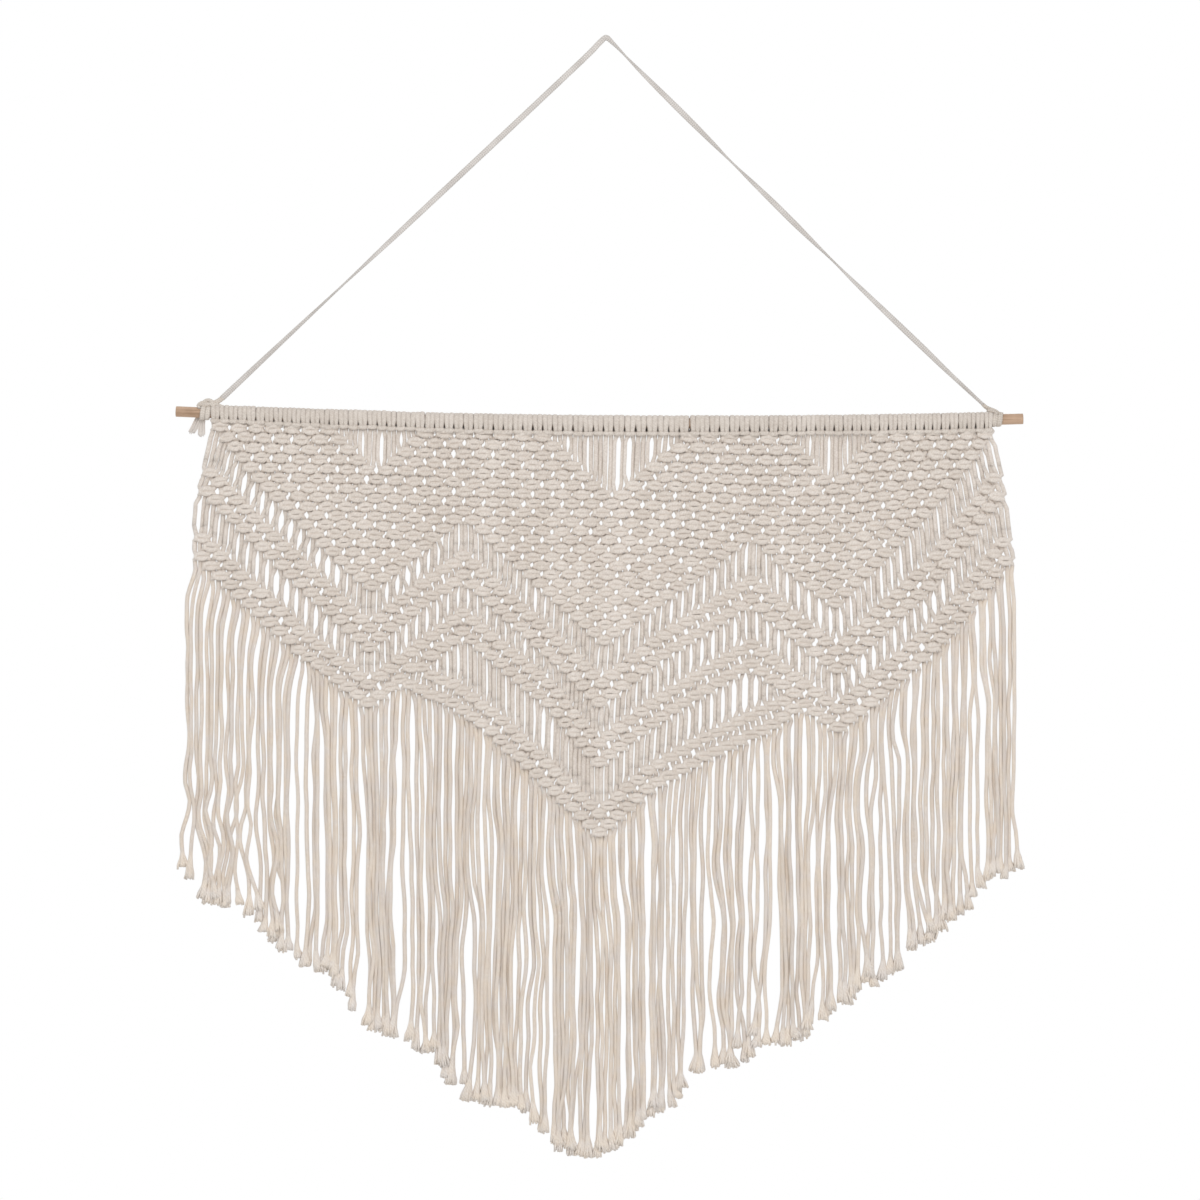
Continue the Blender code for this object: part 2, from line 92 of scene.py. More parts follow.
# How far the slit at each column stands open between the rows, 0 shut to 1 wide.
OPEN_UPPER = [(1, .1), (3, .45), (5, .75), (9, .65), (12, .6), (13, .95), (14, .8), (16, .15), (18, .3),
              (20, .6), (22, .75), (24, .35), (28, .1), (32, .2), (36, .35), (39, .1), (44, .25), (52, .4),
              (57, .25), (60, .55), (64, .65), (65, .2), (70, .35), (76, .1), (79, .45), (81, .3)]
OPEN_MIDDLE = [(1, .5), (2, .2), (5, .4), (7, .6), (9, .85), (11, .55), (14, .65), (16, .25), (19, .15),
               (20, .55), (23, .3), (26, .4), (30, .35), (35, .35), (39, .1), (42, .1), (46, .35),
               (51, .5), (56, .4), (60, .4), (63, .25), (66, .8), (69, .4), (72, .6), (75, .85),
               (77, .15), (81, .1)]
OPEN_LOWER = [(23, .1), (24, .5), (28, .2), (34, .2), (35, .4), (36, .65), (37, .15), (41, .05),
              (45, .25), (50, .4), (53, .6), (56, .8), (58, .2), (59, .2)]

# Foot of the fringe: across, drop. Two rows at one place are a step.
FOOT = [(-497, 989), (-485, 993), (-476, 1016), (-436, 1022), (-434, 1040), (-428, 1028), (-412, 1034),
        (-408, 1046), (-398, 1058), (-392, 1062), (-373, 1074), (-367, 1082), (-339, 1104), (-329, 1099),
        (-305, 1126), (-283, 1154), (-273, 1167), (-251, 1176), (-241, 1182), (-216, 1199),
        (-210, 1199), (-177, 1234), (-170, 1242), (-138, 1256), (-110, 1260), (-98, 1264), (-58, 1305),
        (-53, 1311), (-17, 1321), (-12, 1320), (30, 1294), (34, 1285), (54, 1275), (94, 1235),
        (99, 1220), (135, 1216), (163, 1204), (187, 1183), (204, 1184), (222, 1187), (246, 1164),
        (274, 1138), (310, 1116), (347, 1096), (355, 1079), (393, 1051), (400, 1041), (431, 1024),
        (436, 1004), (450, 991), (492, 975)]
# Partings of the fringe: across of the opening at its top, then rows of
# (drop, across of the middle, width).
PARTINGS = [
    (-488, (900, -488, 0), (945, -480, 8), (995, -483, 12)),
    (-466, (880, -466, 0), (945, -466, 4), (990, -464, 2)),
    (-452, (830, -452, 0), (852, -454, 4), (900, -450, 1)),
    (-431, (880, -431, 0), (897, -430, 4), (945, -436, 5), (1000, -442, 8), (1030, -434, 18)),
    (-415, (810, -416, 0), (852, -415, 4), (945, -419, 4), (992, -411, 4)),
    (-397, (920, -397, 0), (990, -396, 6), (1050, -396, 10)),
    (-371, (740, -372, 2), (780, -371, 4), (850, -370, 3), (900, -371, 6), (990, -371, 7), (1040, -376, 12)),
    (-348, (740, -348, 2), (780, -347, 5), (850, -350, 3), (990, -347, 3), (1040, -343, 2)),
    (-336, (800, -336, 1), (850, -337, 3), (897, -335, 7), (945, -334, 10), (990, -333, 8), (1040, -335, 11),
     (1085, -336, 8)),
    (-318, (980, -318, 0), (1040, -317, 6), (1075, -322, 2)),
    (-291, (820, -291, 0), (850, -291, 3), (930, -286, 3), (990, -277, 10), (1040, -276, 11), (1090, -275, 9),
     (1150, -277, 8)),
    (-256, (850, -256, 0), (897, -256, 3), (950, -257, 3), (990, -262, 4), (1020, -264, 0)),
    (-244, (820, -244, 0), (850, -245, 4), (897, -245, 6), (950, -246, 6), (990, -247, 9), (1040, -246, 10),
     (1090, -245, 10), (1175, -248, 4)),
    (-228, (770, -229, 1), (780, -229, 4), (850, -229, 4), (930, -228, 2), (1040, -223, 3), (1135, -226, 4)),
    (-214, (830, -214, 0), (850, -213, 3), (990, -214, 4), (1090, -213, 4), (1135, -216, 4), (1180, -214, 2)),
    (-200, (1000, -200, 0), (1040, -200, 5), (1090, -200, 5), (1160, -198, 1)),
    (-174, (1050, -174, 0), (1135, -174, 7), (1180, -174, 5), (1230, -174, 3)),
    (-162, (900, -162, 0), (945, -163, 3), (1000, -160, 1), (1040, -148, 4), (1135, -147, 3), (1200, -145, 3)),
    (-131, (920, -131, 0), (945, -131, 3), (1000, -132, 1), (1135, -138, 5), (1200, -136, 2)),
    (-107, (1040, -107, 0), (1135, -108, 3), (1180, -108, 4), (1250, -107, 2)),
    (-94, (1030, -94, 0), (1090, -88, 3), (1135, -98, 3), (1180, -97, 6), (1225, -103, 3)),
    (-72, (960, -72, 0), (992, -72, 3), (1040, -63, 4), (1090, -56, 3), (1180, -56, 4), (1230, -46, 6),
     (1275, -37, 5)),
    (-36, (950, -36, 0), (992, -36, 3), (1040, -27, 3), (1135, -26, 4), (1170, -26, 1)),
    (-14, (1040, -14, 0), (1090, -14, 3), (1135, -15, 3), (1180, -14, 5), (1230, -15, 3), (1310, -15, 4)),
    (16, (1000, 16, 1), (1090, 29, 3), (1180, 31, 3), (1230, 22, 5), (1290, 38, 4)),
    (51, (860, 50, 0), (945, 52, 5), (992, 50, 7), (1040, 51, 6), (1090, 50, 6), (1135, 48, 6), (1180, 51, 7),
     (1270, 50, 4)),
    (69, (960, 69, 0), (992, 69, 3), (1040, 69, 4), (1135, 68, 4), (1180, 71, 4), (1240, 71, 1)),
    (97, (1010, 97, 0), (1040, 98, 5), (1090, 98, 5), (1180, 96, 4), (1225, 97, 5)),
    (109, (900, 109, 0), (945, 109, 3), (992, 110, 4), (1040, 108, 3), (1090, 110, 1)),
    (126, (960, 121, 2), (1040, 134, 3), (1135, 126, 7), (1180, 135, 9), (1210, 131, 8)),
    (168, (900, 168, 0), (945, 167, 6), (992, 165, 6), (1040, 167, 4), (1090, 164, 5), (1200, 165, 7)),
    (185, (830, 185, 0), (850, 185, 3), (945, 185, 3), (1040, 183, 3), (1090, 180, 4), (1140, 184, 2)),
    (200, (870, 200, 0), (897, 200, 4), (945, 200, 4), (992, 200, 3), (1040, 201, 9), (1090, 198, 15),
     (1135, 196, 17), (1190, 191, 15)),
    (222, (920, 222, 0), (945, 222, 3), (1040, 224, 5), (1090, 225, 4), (1180, 224, 5)),
    (244, (920, 244, 0), (945, 245, 4), (992, 243, 5), (1040, 244, 5), (1090, 243, 8), (1160, 242, 5)),
    (255, (925, 256, 1), (945, 256, 3), (992, 256, 3), (1050, 257, 1)),
    (268, (890, 268, 0), (897, 266, 6), (945, 268, 8), (1040, 268, 8), (1090, 271, 9), (1140, 270, 8)),
    (306, (850, 305, 1), (860, 295, 3), (945, 309, 5), (992, 307, 5), (1040, 306, 6), (1120, 308, 6)),
    (319, (880, 319, 0), (897, 318, 4), (945, 319, 4), (1040, 319, 7), (1080, 320, 4)),
    (332, (790, 328, 2), (820, 329, 5), (897, 335, 3), (1000, 341, 2), (1085, 340, 5)),
    (352, (790, 344, 2), (820, 344, 4), (850, 354, 5), (897, 353, 4), (945, 350, 6), (992, 350, 6),
     (1040, 353, 8), (1085, 352, 8)),
    (368, (790, 369, 2), (820, 370, 3), (897, 366, 4), (945, 368, 6), (992, 368, 5), (1040, 379, 4)),
    (396, (870, 396, 0), (897, 395, 3), (945, 398, 6), (992, 395, 5), (1040, 396, 6)),
    (415, (880, 415, 0), (897, 414, 3), (992, 414, 5), (1025, 416, 5)),
    (425, (770, 427, 1), (820, 427, 3), (850, 425, 4), (945, 424, 3), (990, 426, 1)),
    (434, (780, 436, 1), (820, 436, 3), (897, 434, 4), (950, 434, 2), (1000, 433, 4)),
    (446, (760, 447, 1), (820, 447, 4), (850, 446, 5), (897, 446, 5), (945, 447, 5), (990, 446, 5)),
    (471, (770, 472, 1), (820, 472, 3), (870, 472, 0))]

# Route of the hanging cord: across, drop, turn of the flat braid in degrees.
CORD_ROUTE = [
    (-453.2, 422.8, 12), (-405.0, 377.5, 40), (-354.0, 329.6, 66), (-318.0, 296.0, 90),
    (-278.6, 259.3, 128), (-240.0, 223.1, 158), (-204.0, 189.3, 175), (-129.3, 119.2, 184),
    (-54.3, 48.6, 182), (-26.0, 21.8, 184), (-14.4, 10.4, 188), (-9.4, 4.9, 192),
    (-5.9, 1.5, 197), (-2.6, -1.7, 202), (0.0, -3.1, 206), (2.6, -1.8, 214), (5.9, 1.3, 228),
    (9.4, 4.7, 241), (14.4, 9.7, 251), (26.0, 21.9, 284), (40.0, 36.2, 309),
    (51.4, 47.6, 324), (75.0, 71.0, 350), (122.6, 118.3, 408), (146.0, 141.8, 450),
    (170.6, 165.6, 494), (195.2, 189.4, 528), (219.0, 213.0, 552), (243.0, 236.6, 592),
    (267.4, 260.2, 632), (291.0, 283.5, 668), (340.4, 331.0, 712), (375.0, 364.0, 738),
    (400.0, 388.2, 764), (445.1, 430.2, 790)]
BRAID_HALF_WIDTH, BRAID_HALF_THICK = 3.4, 1.3


# ----------------------------------------------------------------------------
# Helpers
# ----------------------------------------------------------------------------
def along(table, key):
    xs = [r[0] for r in table]
    ys = [r[1] for r in table]
    return float(np.interp(key, xs, ys))


def column_across(column, drop):
    d = min(max(drop, COLUMN_DROPS[0]), COLUMN_DROPS[-1])
    row = [float(np.interp(d, COLUMN_DROPS, r)) for _, r in COLUMN_LINES]
    return float(np.interp(column, [c for c, _ in COLUMN_LINES], row))


def rod_drop(across):
    u = (across - ROD_LEFT) / (ROD_RIGHT - ROD_LEFT)
    return ROD_DROP_LEFT + (ROD_DROP_RIGHT - ROD_DROP_LEFT) * u + ROD_SAG * (1 - (2 * u - 1) ** 2)


def smooth01(t):
    t = np.clip(t, 0.0, 1.0)
    return t * t * (3 - 2 * t)


def spline(points, steps):
    """Centripetal-like smooth curve through rows of numbers; steps[i] samples for span i."""
    p = np.asarray(points, float)
    n = len(p)
    ext = np.vstack([2 * p[0] - p[1], p, 2 * p[-1] - p[-2]])
    d = np.sqrt(np.maximum(np.linalg.norm(np.diff(ext[:, :3], axis=0), axis=1), 1e-6))
    span = np.repeat(np.arange(n - 1), steps)
    first = np.concatenate([[0], np.cumsum(steps)])[:-1]
    local = (np.arange(len(span)) - first[span]) / np.asarray(steps)[span]
    d0, d1, d2 = d[span][:, None], d[span + 1][:, None], d[span + 2][:, None]
    t0 = 0 * d0
    t1 = t0 + d0
    t2 = t1 + d1
    t3 = t2 + d2
    t = t1 + (t2 - t1) * local[:, None]
    p0, p1, p2, p3 = ext[span], ext[span + 1], ext[span + 2], ext[span + 3]
    a1 = p0 * ((t1 - t) / (t1 - t0)) + p1 * ((t - t0) / (t1 - t0))
    a2 = p1 * ((t2 - t) / (t2 - t1)) + p2 * ((t - t1) / (t2 - t1))
    a3 = p2 * ((t3 - t) / (t3 - t2)) + p3 * ((t - t2) / (t3 - t2))
    b1 = a1 * ((t2 - t) / (t2 - t0)) + a2 * ((t - t0) / (t2 - t0))
    b2 = a2 * ((t3 - t) / (t3 - t1)) + a3 * ((t - t1) / (t3 - t1))
    out = b1 * ((t2 - t) / (t2 - t1)) + b2 * ((t - t1) / (t2 - t1))
    return np.vstack([out, p[-1]]), np.concatenate([span, [n - 2]])


def tangents(p):
    t = np.zeros_like(p)
    t[1:-1] = p[2:] - p[:-2]
    t[0] = p[1] - p[0]
    t[-1] = p[-1] - p[-2]
    return t / np.maximum(np.linalg.norm(t, axis=1), 1e-9)[:, None]


def carried_frames(p, start=(0.0, 1.0, 0.0)):
    """A side vector at each point, carried along without twisting."""
    t = tangents(p)
    r = np.zeros_like(p)
    v = np.array(start, float)
    v -= v.dot(t[0]) * t[0]
    if np.linalg.norm(v) < 1e-6:
        v = np.cross(t[0], (1.0, 0.0, 0.3))
    r[0] = v / np.linalg.norm(v)
    for i in range(len(p) - 1):
        v1 = p[i + 1] - p[i]
        c1 = v1.dot(v1)
        if c1 < 1e-12:
            r[i + 1] = r[i]
            continue
        rl = r[i] - (2 / c1) * v1.dot(r[i]) * v1
        tl = t[i] - (2 / c1) * v1.dot(t[i]) * v1
        v2 = t[i + 1] - tl
        c2 = v2.dot(v2)
        r[i + 1] = rl if c2 < 1e-12 else rl - (2 / c2) * v2.dot(rl) * v2
    return r, t


class Tubes:
    """Collects many closed tubes as one mesh of quads."""

    def __init__(self, sides):
        self.sides = sides
        self.co, self.faces, self.uv, self.tone = [], [], [], []
        self.count = 0

    def add(self, p, side, tangent, half_a, half_b, v_start=0.0, tone=0.5, lobes=None):
        """p (n,3) in mm; half_a along the side vector, half_b across it."""
        n, s = len(p), self.sides
        other = np.cross(tangent, side)
        angle = np.arange(s) / s * 2 * math.pi
        a = np.broadcast_to(np.asarray(half_a, float).reshape(-1, 1), (n, s))
        b = np.broadcast_to(np.asarray(half_b, float).reshape(-1, 1), (n, s))
        if lobes is not None:
            a, b = a * lobes, b * lobes
        ring = (p[:, None, :] + (a * np.cos(angle))[:, :, None] * side[:, None, :]
                + (b * np.sin(angle))[:, :, None] * other[:, None, :])
        length = v_start + np.concatenate([[0], np.cumsum(np.linalg.norm(np.diff(p, axis=0), axis=1))])
        i, j = np.meshgrid(np.arange(n - 1), np.arange(s), indexing="ij")
        k = (j + 1) % s
        quad = np.stack([i * s + j, i * s + k, (i + 1) * s + k, (i + 1) * s + j], -1).reshape(-1, 4)
        u0, u1 = (j / s), ((j + 1) / s)
        v0, v1 = length[i], length[i + 1]
        uv = np.stack([np.stack([u0, v0], -1), np.stack([u1, v0], -1), np.stack([u1, v1], -1),
                       np.stack([u0, v1], -1)], 2).reshape(-1, 4, 2)
        caps, cap_uv = [], []
        for base, flip in ((0, True), ((n - 1) * s, False)):
            v = length[0] if flip else length[-1]
            for q in range(1, s - 2, 2):
                idx = [0, q, q + 1, q + 2]
                if flip:
                    idx = idx[::-1]
                caps.append([base + x for x in idx])
                cap_uv.append([[x / s, v] for x in idx])
        quad = np.vstack([quad, np.array(caps)])
        uv = np.vstack([uv, np.array(cap_uv, float)])
        self.co.append(ring.reshape(-1, 3))
        self.faces.append(quad + self.count)
        self.uv.append(uv)
        self.tone.append(np.full(n * s, tone, np.float32))
        self.count += n * s
        return length[-1]

    def build(self, name, mat):
        co = np.vstack(self.co)
        faces = np.vstack(self.faces)
        uv = np.vstack(self.uv)
        me = bpy.data.meshes.new(name)
        world = np.stack([co[:, 0], -co[:, 1], -co[:, 2]], -1) * MM
        me.vertices.add(len(world))
        me.vertices.foreach_set("co", world.astype(np.float32).ravel())
        me.loops.add(faces.size)
        me.loops.foreach_set("vertex_index", faces.astype(np.int32).ravel())
        me.polygons.add(len(faces))
        me.polygons.foreach_set("loop_start", (np.arange(len(faces)) * 4).astype(np.int32))
        me.update(calc_edges=True)
        layer = me.uv_layers.new(name="lay")
        scaled = uv.reshape(-1, 2).copy()
        scaled[:, 1] *= 0.01
        layer.uv.foreach_set("vector", scaled.astype(np.float32).ravel())
        tone = me.attributes.new("tone", "FLOAT", "POINT")
        tone.data.foreach_set("value", np.concatenate(self.tone))
        me.polygons.foreach_set("use_smooth", np.ones(len(faces), bool))
        me.validate()
        me.update()
        ob = bpy.data.objects.new(name, me)
        me.materials.append(mat)
        bpy.context.scene.collection.objects.link(ob)
        return ob


# Points are kept as (across, front, drop) in mm; build() turns them to X, -Y, -Z.
# Both of the last two are flipped, so that tubes keep their faces outwards.


# ----------------------------------------------------------------------------
# Materials
# ----------------------------------------------------------------------------
class Nodes:
    def __init__(self, name):
        self.mat = bpy.data.materials.new(name)
        self.mat.use_nodes = True
        self.tree = self.mat.node_tree
        self.shader = self.tree.nodes["Principled BSDF"]

    def new(self, kind, **values):
        node = self.tree.nodes.new(kind)
        for key, value in values.items():
            if hasattr(node, key):
                setattr(node, key, value)
            else:
                node.inputs[key.replace("_", " ")].default_value = value
        return node

    def link(self, a, b):
        self.tree.links.new(a, b)

    def math(self, operation, a, b=None, c=None):
        node = self.tree.nodes.new("ShaderNodeMath")
        node.operation = operation
        for i, v in enumerate((a, b, c)):
            if v is None:
                continue
            if isinstance(v, (int, float)):
                node.inputs[i].default_value = v
            else:
                self.link(v, node.inputs[i])
        return node.outputs[0]

    def mix(self, factor, a, b, blend="MIX"):
        node = self.tree.nodes.new("ShaderNodeMix")
        node.data_type = "RGBA"
        node.blend_type = blend
        for v, i in ((factor, 0), (a, 6), (b, 7)):
            if isinstance(v, (int, float)):
                node.inputs[i].default_value = v
            elif isinstance(v, tuple):
                node.inputs[i].default_value = v
            else:
                self.link(v, node.inputs[i])
        return node.outputs[2]


def cotton(name, light, dark, plies, pitch, ply_height, fuzz=1.0, flecks=1.0, tinted_with_deeper_painted_shade=False):
    """Soft twisted cotton: plies run round the cord, fine fibres over them."""
    n = Nodes(name)
    uv = n.new("ShaderNodeUVMap", uv_map="lay")
    part = n.new("ShaderNodeSeparateXYZ")
    n.link(uv.outputs[0], part.inputs[0])
    u, v = part.outputs[0], part.outputs[1]
    # v is in units of 100 mm
    tex = n.new("ShaderNodeTexCoord")
    drift = n.new("ShaderNodeTexNoise", Scale=70.0, Detail=1.0, Roughness=0.5)
    n.link(tex.outputs["Object"], drift.inputs["Vector"])
    phase = n.math("ADD", n.math("MULTIPLY", u, float(plies)),
                   n.math("MULTIPLY", v, 100.0 * plies / pitch))
    phase = n.math("ADD", phase, n.math("MULTIPLY", drift.outputs[0], 1.6))
    ply = n.math("ABSOLUTE", n.math("SUBTRACT", n.math("FRACT", phase), 0.5))
    ply = n.math("MULTIPLY", ply, 2.0)                      # 0 on a ply's back, 1 between plies
    groove_bump_and_painted_shade = n.math("POWER", ply, 3.0)
    fine = n.new("ShaderNodeTexNoise", Scale=900.0, Detail=3.0, Roughness=0.65)
    n.link(tex.outputs["Object"], fine.inputs["Vector"])
    # fibres, drawn out along the twist
    lay = n.new("ShaderNodeCombineXYZ")
    n.link(n.math("MULTIPLY", phase, 5.0), lay.inputs[0])
    n.link(n.math("MULTIPLY", v, 14.0), lay.inputs[1])
    fibre = n.new("ShaderNodeTexNoise", Scale=1.0, Detail=4.0, Roughness=0.7)
    n.link(lay.outputs[0], fibre.inputs["Vector"])
    broad = n.new("ShaderNodeTexNoise", Scale=26.0, Detail=2.0, Roughness=0.5)
    n.link(tex.outputs["Object"], broad.inputs["Vector"])
    tone = n.new("ShaderNodeAttribute", attribute_name="tone")
    fleck = n.new("ShaderNodeTexNoise", Scale=430.0, Detail=2.0, Roughness=0.6)
    n.link(tex.outputs["Object"], fleck.inputs["Vector"])
    shade = n.math("ADD", n.math("MULTIPLY", tone.outputs["Fac"], 0.18),
                   n.math("ADD", n.math("MULTIPLY", broad.outputs[0], 0.35),
                          n.math("MULTIPLY", fibre.outputs[0], 0.42)))
    # painted shade: the colour is darkened in the grooves between the plies, more deeply on the tinted cottons
    shade = n.math("SUBTRACT", shade, n.math("MULTIPLY", groove_bump_and_painted_shade, 0.34 if tinted_with_deeper_painted_shade else 0.16))
    shade = n.math("ADD", shade, n.math("MULTIPLY", n.math("SUBTRACT", fleck.outputs[0], 0.54), flecks))
    ramp = n.new("ShaderNodeValToRGB")
    ramp.color_ramp.elements[0].position = 0.12
    ramp.color_ramp.elements[0].color = (*dark, 1)
    ramp.color_ramp.elements[1].position = 0.72
    ramp.color_ramp.elements[1].color = (*light, 1)
    n.link(shade, ramp.inputs[0])
    if tinted_with_deeper_painted_shade:
        # undyed cotton: some stretches are tan, some nearly white
        patch = n.new("ShaderNodeTexNoise", Scale=55.0, Detail=2.0, Roughness=0.6)
        n.link(tex.outputs["Object"], patch.inputs["Vector"])
        hue = n.new("ShaderNodeValToRGB")
        hue.color_ramp.elements[0].position = 0.36
        hue.color_ramp.elements[0].color = (0.972, 0.976, 0.985, 1)
        hue.color_ramp.elements[1].position = 0.64
        hue.color_ramp.elements[1].color = (1.0, 0.962, 0.900, 1)
        n.link(n.math("ADD", n.math("MULTIPLY", patch.outputs[0], 0.8),
                      n.math("MULTIPLY", tone.outputs["Fac"], 0.2)), hue.inputs[0])
        n.link(n.mix(1.0, ramp.outputs[0], hue.outputs[0], "MULTIPLY"), n.shader.inputs["Base Color"])
    else:
        n.link(ramp.outputs[0], n.shader.inputs["Base Color"])
    height = n.math("ADD", n.math("MULTIPLY", groove_bump_and_painted_shade, -ply_height),
                    n.math("ADD", n.math("MULTIPLY", fibre.outputs[0], 0.35 * fuzz),
                           n.math("MULTIPLY", fine.outputs[0], 0.30 * fuzz)))
    bump = n.new("ShaderNodeBump", Strength=0.85, Distance=0.0006)
    n.link(height, bump.inputs["Height"])
    n.link(bump.outputs[0], n.shader.inputs["Normal"])
    n.shader.inputs["Roughness"].default_value = 0.92
    n.shader.inputs["Specular IOR Level"].default_value = 0.22
    n.shader.inputs["Sheen Weight"].default_value = 0.25
    n.shader.inputs["Sheen Roughness"].default_value = 0.6
    return n.mat


def braid_material(name, light, dark):
    """Flat cotton braid: two rows of slanting stitches meeting along the middle."""
    n = Nodes(name)
    uv = n.new("ShaderNodeUVMap", uv_map="lay")
    part = n.new("ShaderNodeSeparateXYZ")
    n.link(uv.outputs[0], part.inputs[0])
    u, v = part.outputs[0], part.outputs[1]
    fold = n.math("PINGPONG", n.math("MULTIPLY", u, 8.0), 1.0)      # 8 slants round the braid
    phase = n.math("ADD", n.math("MULTIPLY", v, 100.0 / 2.6), n.math("MULTIPLY", fold, 0.55))
    stitch = n.math("ABSOLUTE", n.math("SUBTRACT", n.math("FRACT", phase), 0.5))
    stitch = n.math("MULTIPLY", stitch, 2.0)
    row = n.math("POWER", n.math("ABSOLUTE", n.math("SUBTRACT", n.math("MULTIPLY", fold, 2.0), 1.0)), 4.0)
    groove_bump_and_painted_shade = n.math("MAXIMUM", n.math("POWER", stitch, 3.0), n.math("MULTIPLY", row, 0.9))
    tex = n.new("ShaderNodeTexCoord")
    fine = n.new("ShaderNodeTexNoise", Scale=1100.0, Detail=3.0, Roughness=0.6)
    n.link(tex.outputs["Object"], fine.inputs["Vector"])
    broad = n.new("ShaderNodeTexNoise", Scale=40.0, Detail=2.0)
    n.link(tex.outputs["Object"], broad.inputs["Vector"])
    # painted shade: the colour is darkened in the grooves between stitches and along the middle where the two rows
    # meet
    shade = n.math("SUBTRACT", n.math("ADD", n.math("MULTIPLY", broad.outputs[0], 0.6),
                                      n.math("MULTIPLY", fine.outputs[0], 0.4)),
                   n.math("MULTIPLY", groove_bump_and_painted_shade, 0.42))
    ramp = n.new("ShaderNodeValToRGB")
    ramp.color_ramp.elements[0].position = 0.08
    ramp.color_ramp.elements[0].color = (*dark, 1)
    ramp.color_ramp.elements[1].position = 0.62
    ramp.color_ramp.elements[1].color = (*light, 1)
    n.link(shade, ramp.inputs[0])
    n.link(ramp.outputs[0], n.shader.inputs["Base Color"])
    height = n.math("ADD", n.math("MULTIPLY", groove_bump_and_painted_shade, -0.8), n.math("MULTIPLY", fine.outputs[0], 0.3))
    bump = n.new("ShaderNodeBump", Strength=0.8, Distance=0.0005)
    n.link(height, bump.inputs["Height"])
    n.link(bump.outputs[0], n.shader.inputs["Normal"])
    n.shader.inputs["Roughness"].default_value = 0.88
    n.shader.inputs["Specular IOR Level"].default_value = 0.25
    n.shader.inputs["Sheen Weight"].default_value = 0.2
    return n.mat


def wood_material():
    """Bare dowel: long grain along X, open pores."""
    n = Nodes("bare_wood")
    tex = n.new("ShaderNodeTexCoord")
    stretch = n.new("ShaderNodeMapping")
    stretch.inputs["Scale"].default_value = (3.0, 110.0, 110.0)
    n.link(tex.outputs["Object"], stretch.inputs[0])
    grain = n.new("ShaderNodeTexNoise", Scale=1.0, Detail=6.0, Roughness=0.62, Distortion=0.4)
    n.link(stretch.outputs[0], grain.inputs["Vector"])
    pores = n.new("ShaderNodeMapping")
    pores.inputs["Scale"].default_value = (28.0, 900.0, 900.0)
    n.link(tex.outputs["Object"], pores.inputs[0])
    pore = n.new("ShaderNodeTexNoise", Scale=1.0, Detail=2.0, Roughness=0.5)
    n.link(pores.outputs[0], pore.inputs["Vector"])
    blotch = n.new("ShaderNodeTexNoise", Scale=60.0, Detail=2.0)
    n.link(tex.outputs["Object"], blotch.inputs["Vector"])
    shade = n.math("ADD", n.math("MULTIPLY", grain.outputs[0], 0.55),
                   n.math("ADD", n.math("MULTIPLY", pore.outputs[0], 0.25),
                          n.math("MULTIPLY", blotch.outputs[0], 0.20)))
    ramp = n.new("ShaderNodeValToRGB")
    e = ramp.color_ramp.elements
    e[0].position, e[0].color = 0.34, (0.31, 0.195, 0.120, 1)
    e[1].position, e[1].color = 0.66, (0.68, 0.490, 0.352, 1)
    middle = ramp.color_ramp.elements.new(0.50)
    middle.color = (0.55, 0.375, 0.260, 1)
    n.link(shade, ramp.inputs[0])
    n.link(ramp.outputs[0], n.shader.inputs["Base Color"])
    bump = n.new("ShaderNodeBump", Strength=0.5, Distance=0.0003)
    n.link(shade, bump.inputs["Height"])
    n.link(bump.outputs[0], n.shader.inputs["Normal"])
    n.shader.inputs["Roughness"].default_value = 0.58
    n.shader.inputs["Specular IOR Level"].default_value = 0.35
    return n.mat


MAT_CORD = cotton("cotton_cord", (0.892, 0.822, 0.757), (0.69, 0.610, 0.538), 4, 10.5, 0.60, 1.0, 1.0)
MAT_FRINGE = cotton("cotton_fringe", (0.932, 0.866, 0.812), (0.725, 0.640, 0.565), 4, 11.5, 0.75, 1.3, 0.8, True)
MAT_TAILS = cotton("cotton_tails", (0.865, 0.815, 0.772), (0.680, 0.625, 0.578), 2, 9.0, 0.25, 1.2, 0.7)
# the brush yarns' cotton is a lighter copy of the cord's: painted light against the shade the dense brush casts on
# itself
MAT_YARN_PAINTED_LIGHT = cotton("cotton_yarns_painted_light", (0.945, 0.888, 0.840), (0.80, 0.730, 0.668), 2, 9.0, 0.25, 1.2, 0.7, True)
MAT_HEAD = cotton("cotton_heading", (0.832, 0.764, 0.698), (0.615, 0.542, 0.474), 4, 10.5, 0.60, 1.0, 1.0)
MAT_BRAID = braid_material("flat_braid", (0.81, 0.77, 0.735), (0.56, 0.52, 0.485))
MAT_TIED = braid_material("tied_braid", (0.845, 0.775, 0.700), (0.585, 0.515, 0.445))
MAT_WOOD = wood_material()


# ----------------------------------------------------------------------------
# The chart of knots
# ----------------------------------------------------------------------------
def row_drop(column, row):
    pitch = ROW_PITCH + 0.71 * math.exp(-((column - 60) / 9.0) ** 2)
    return along(FIRST_ROW, column) + pitch * row - ROW_CLOSING * row * row


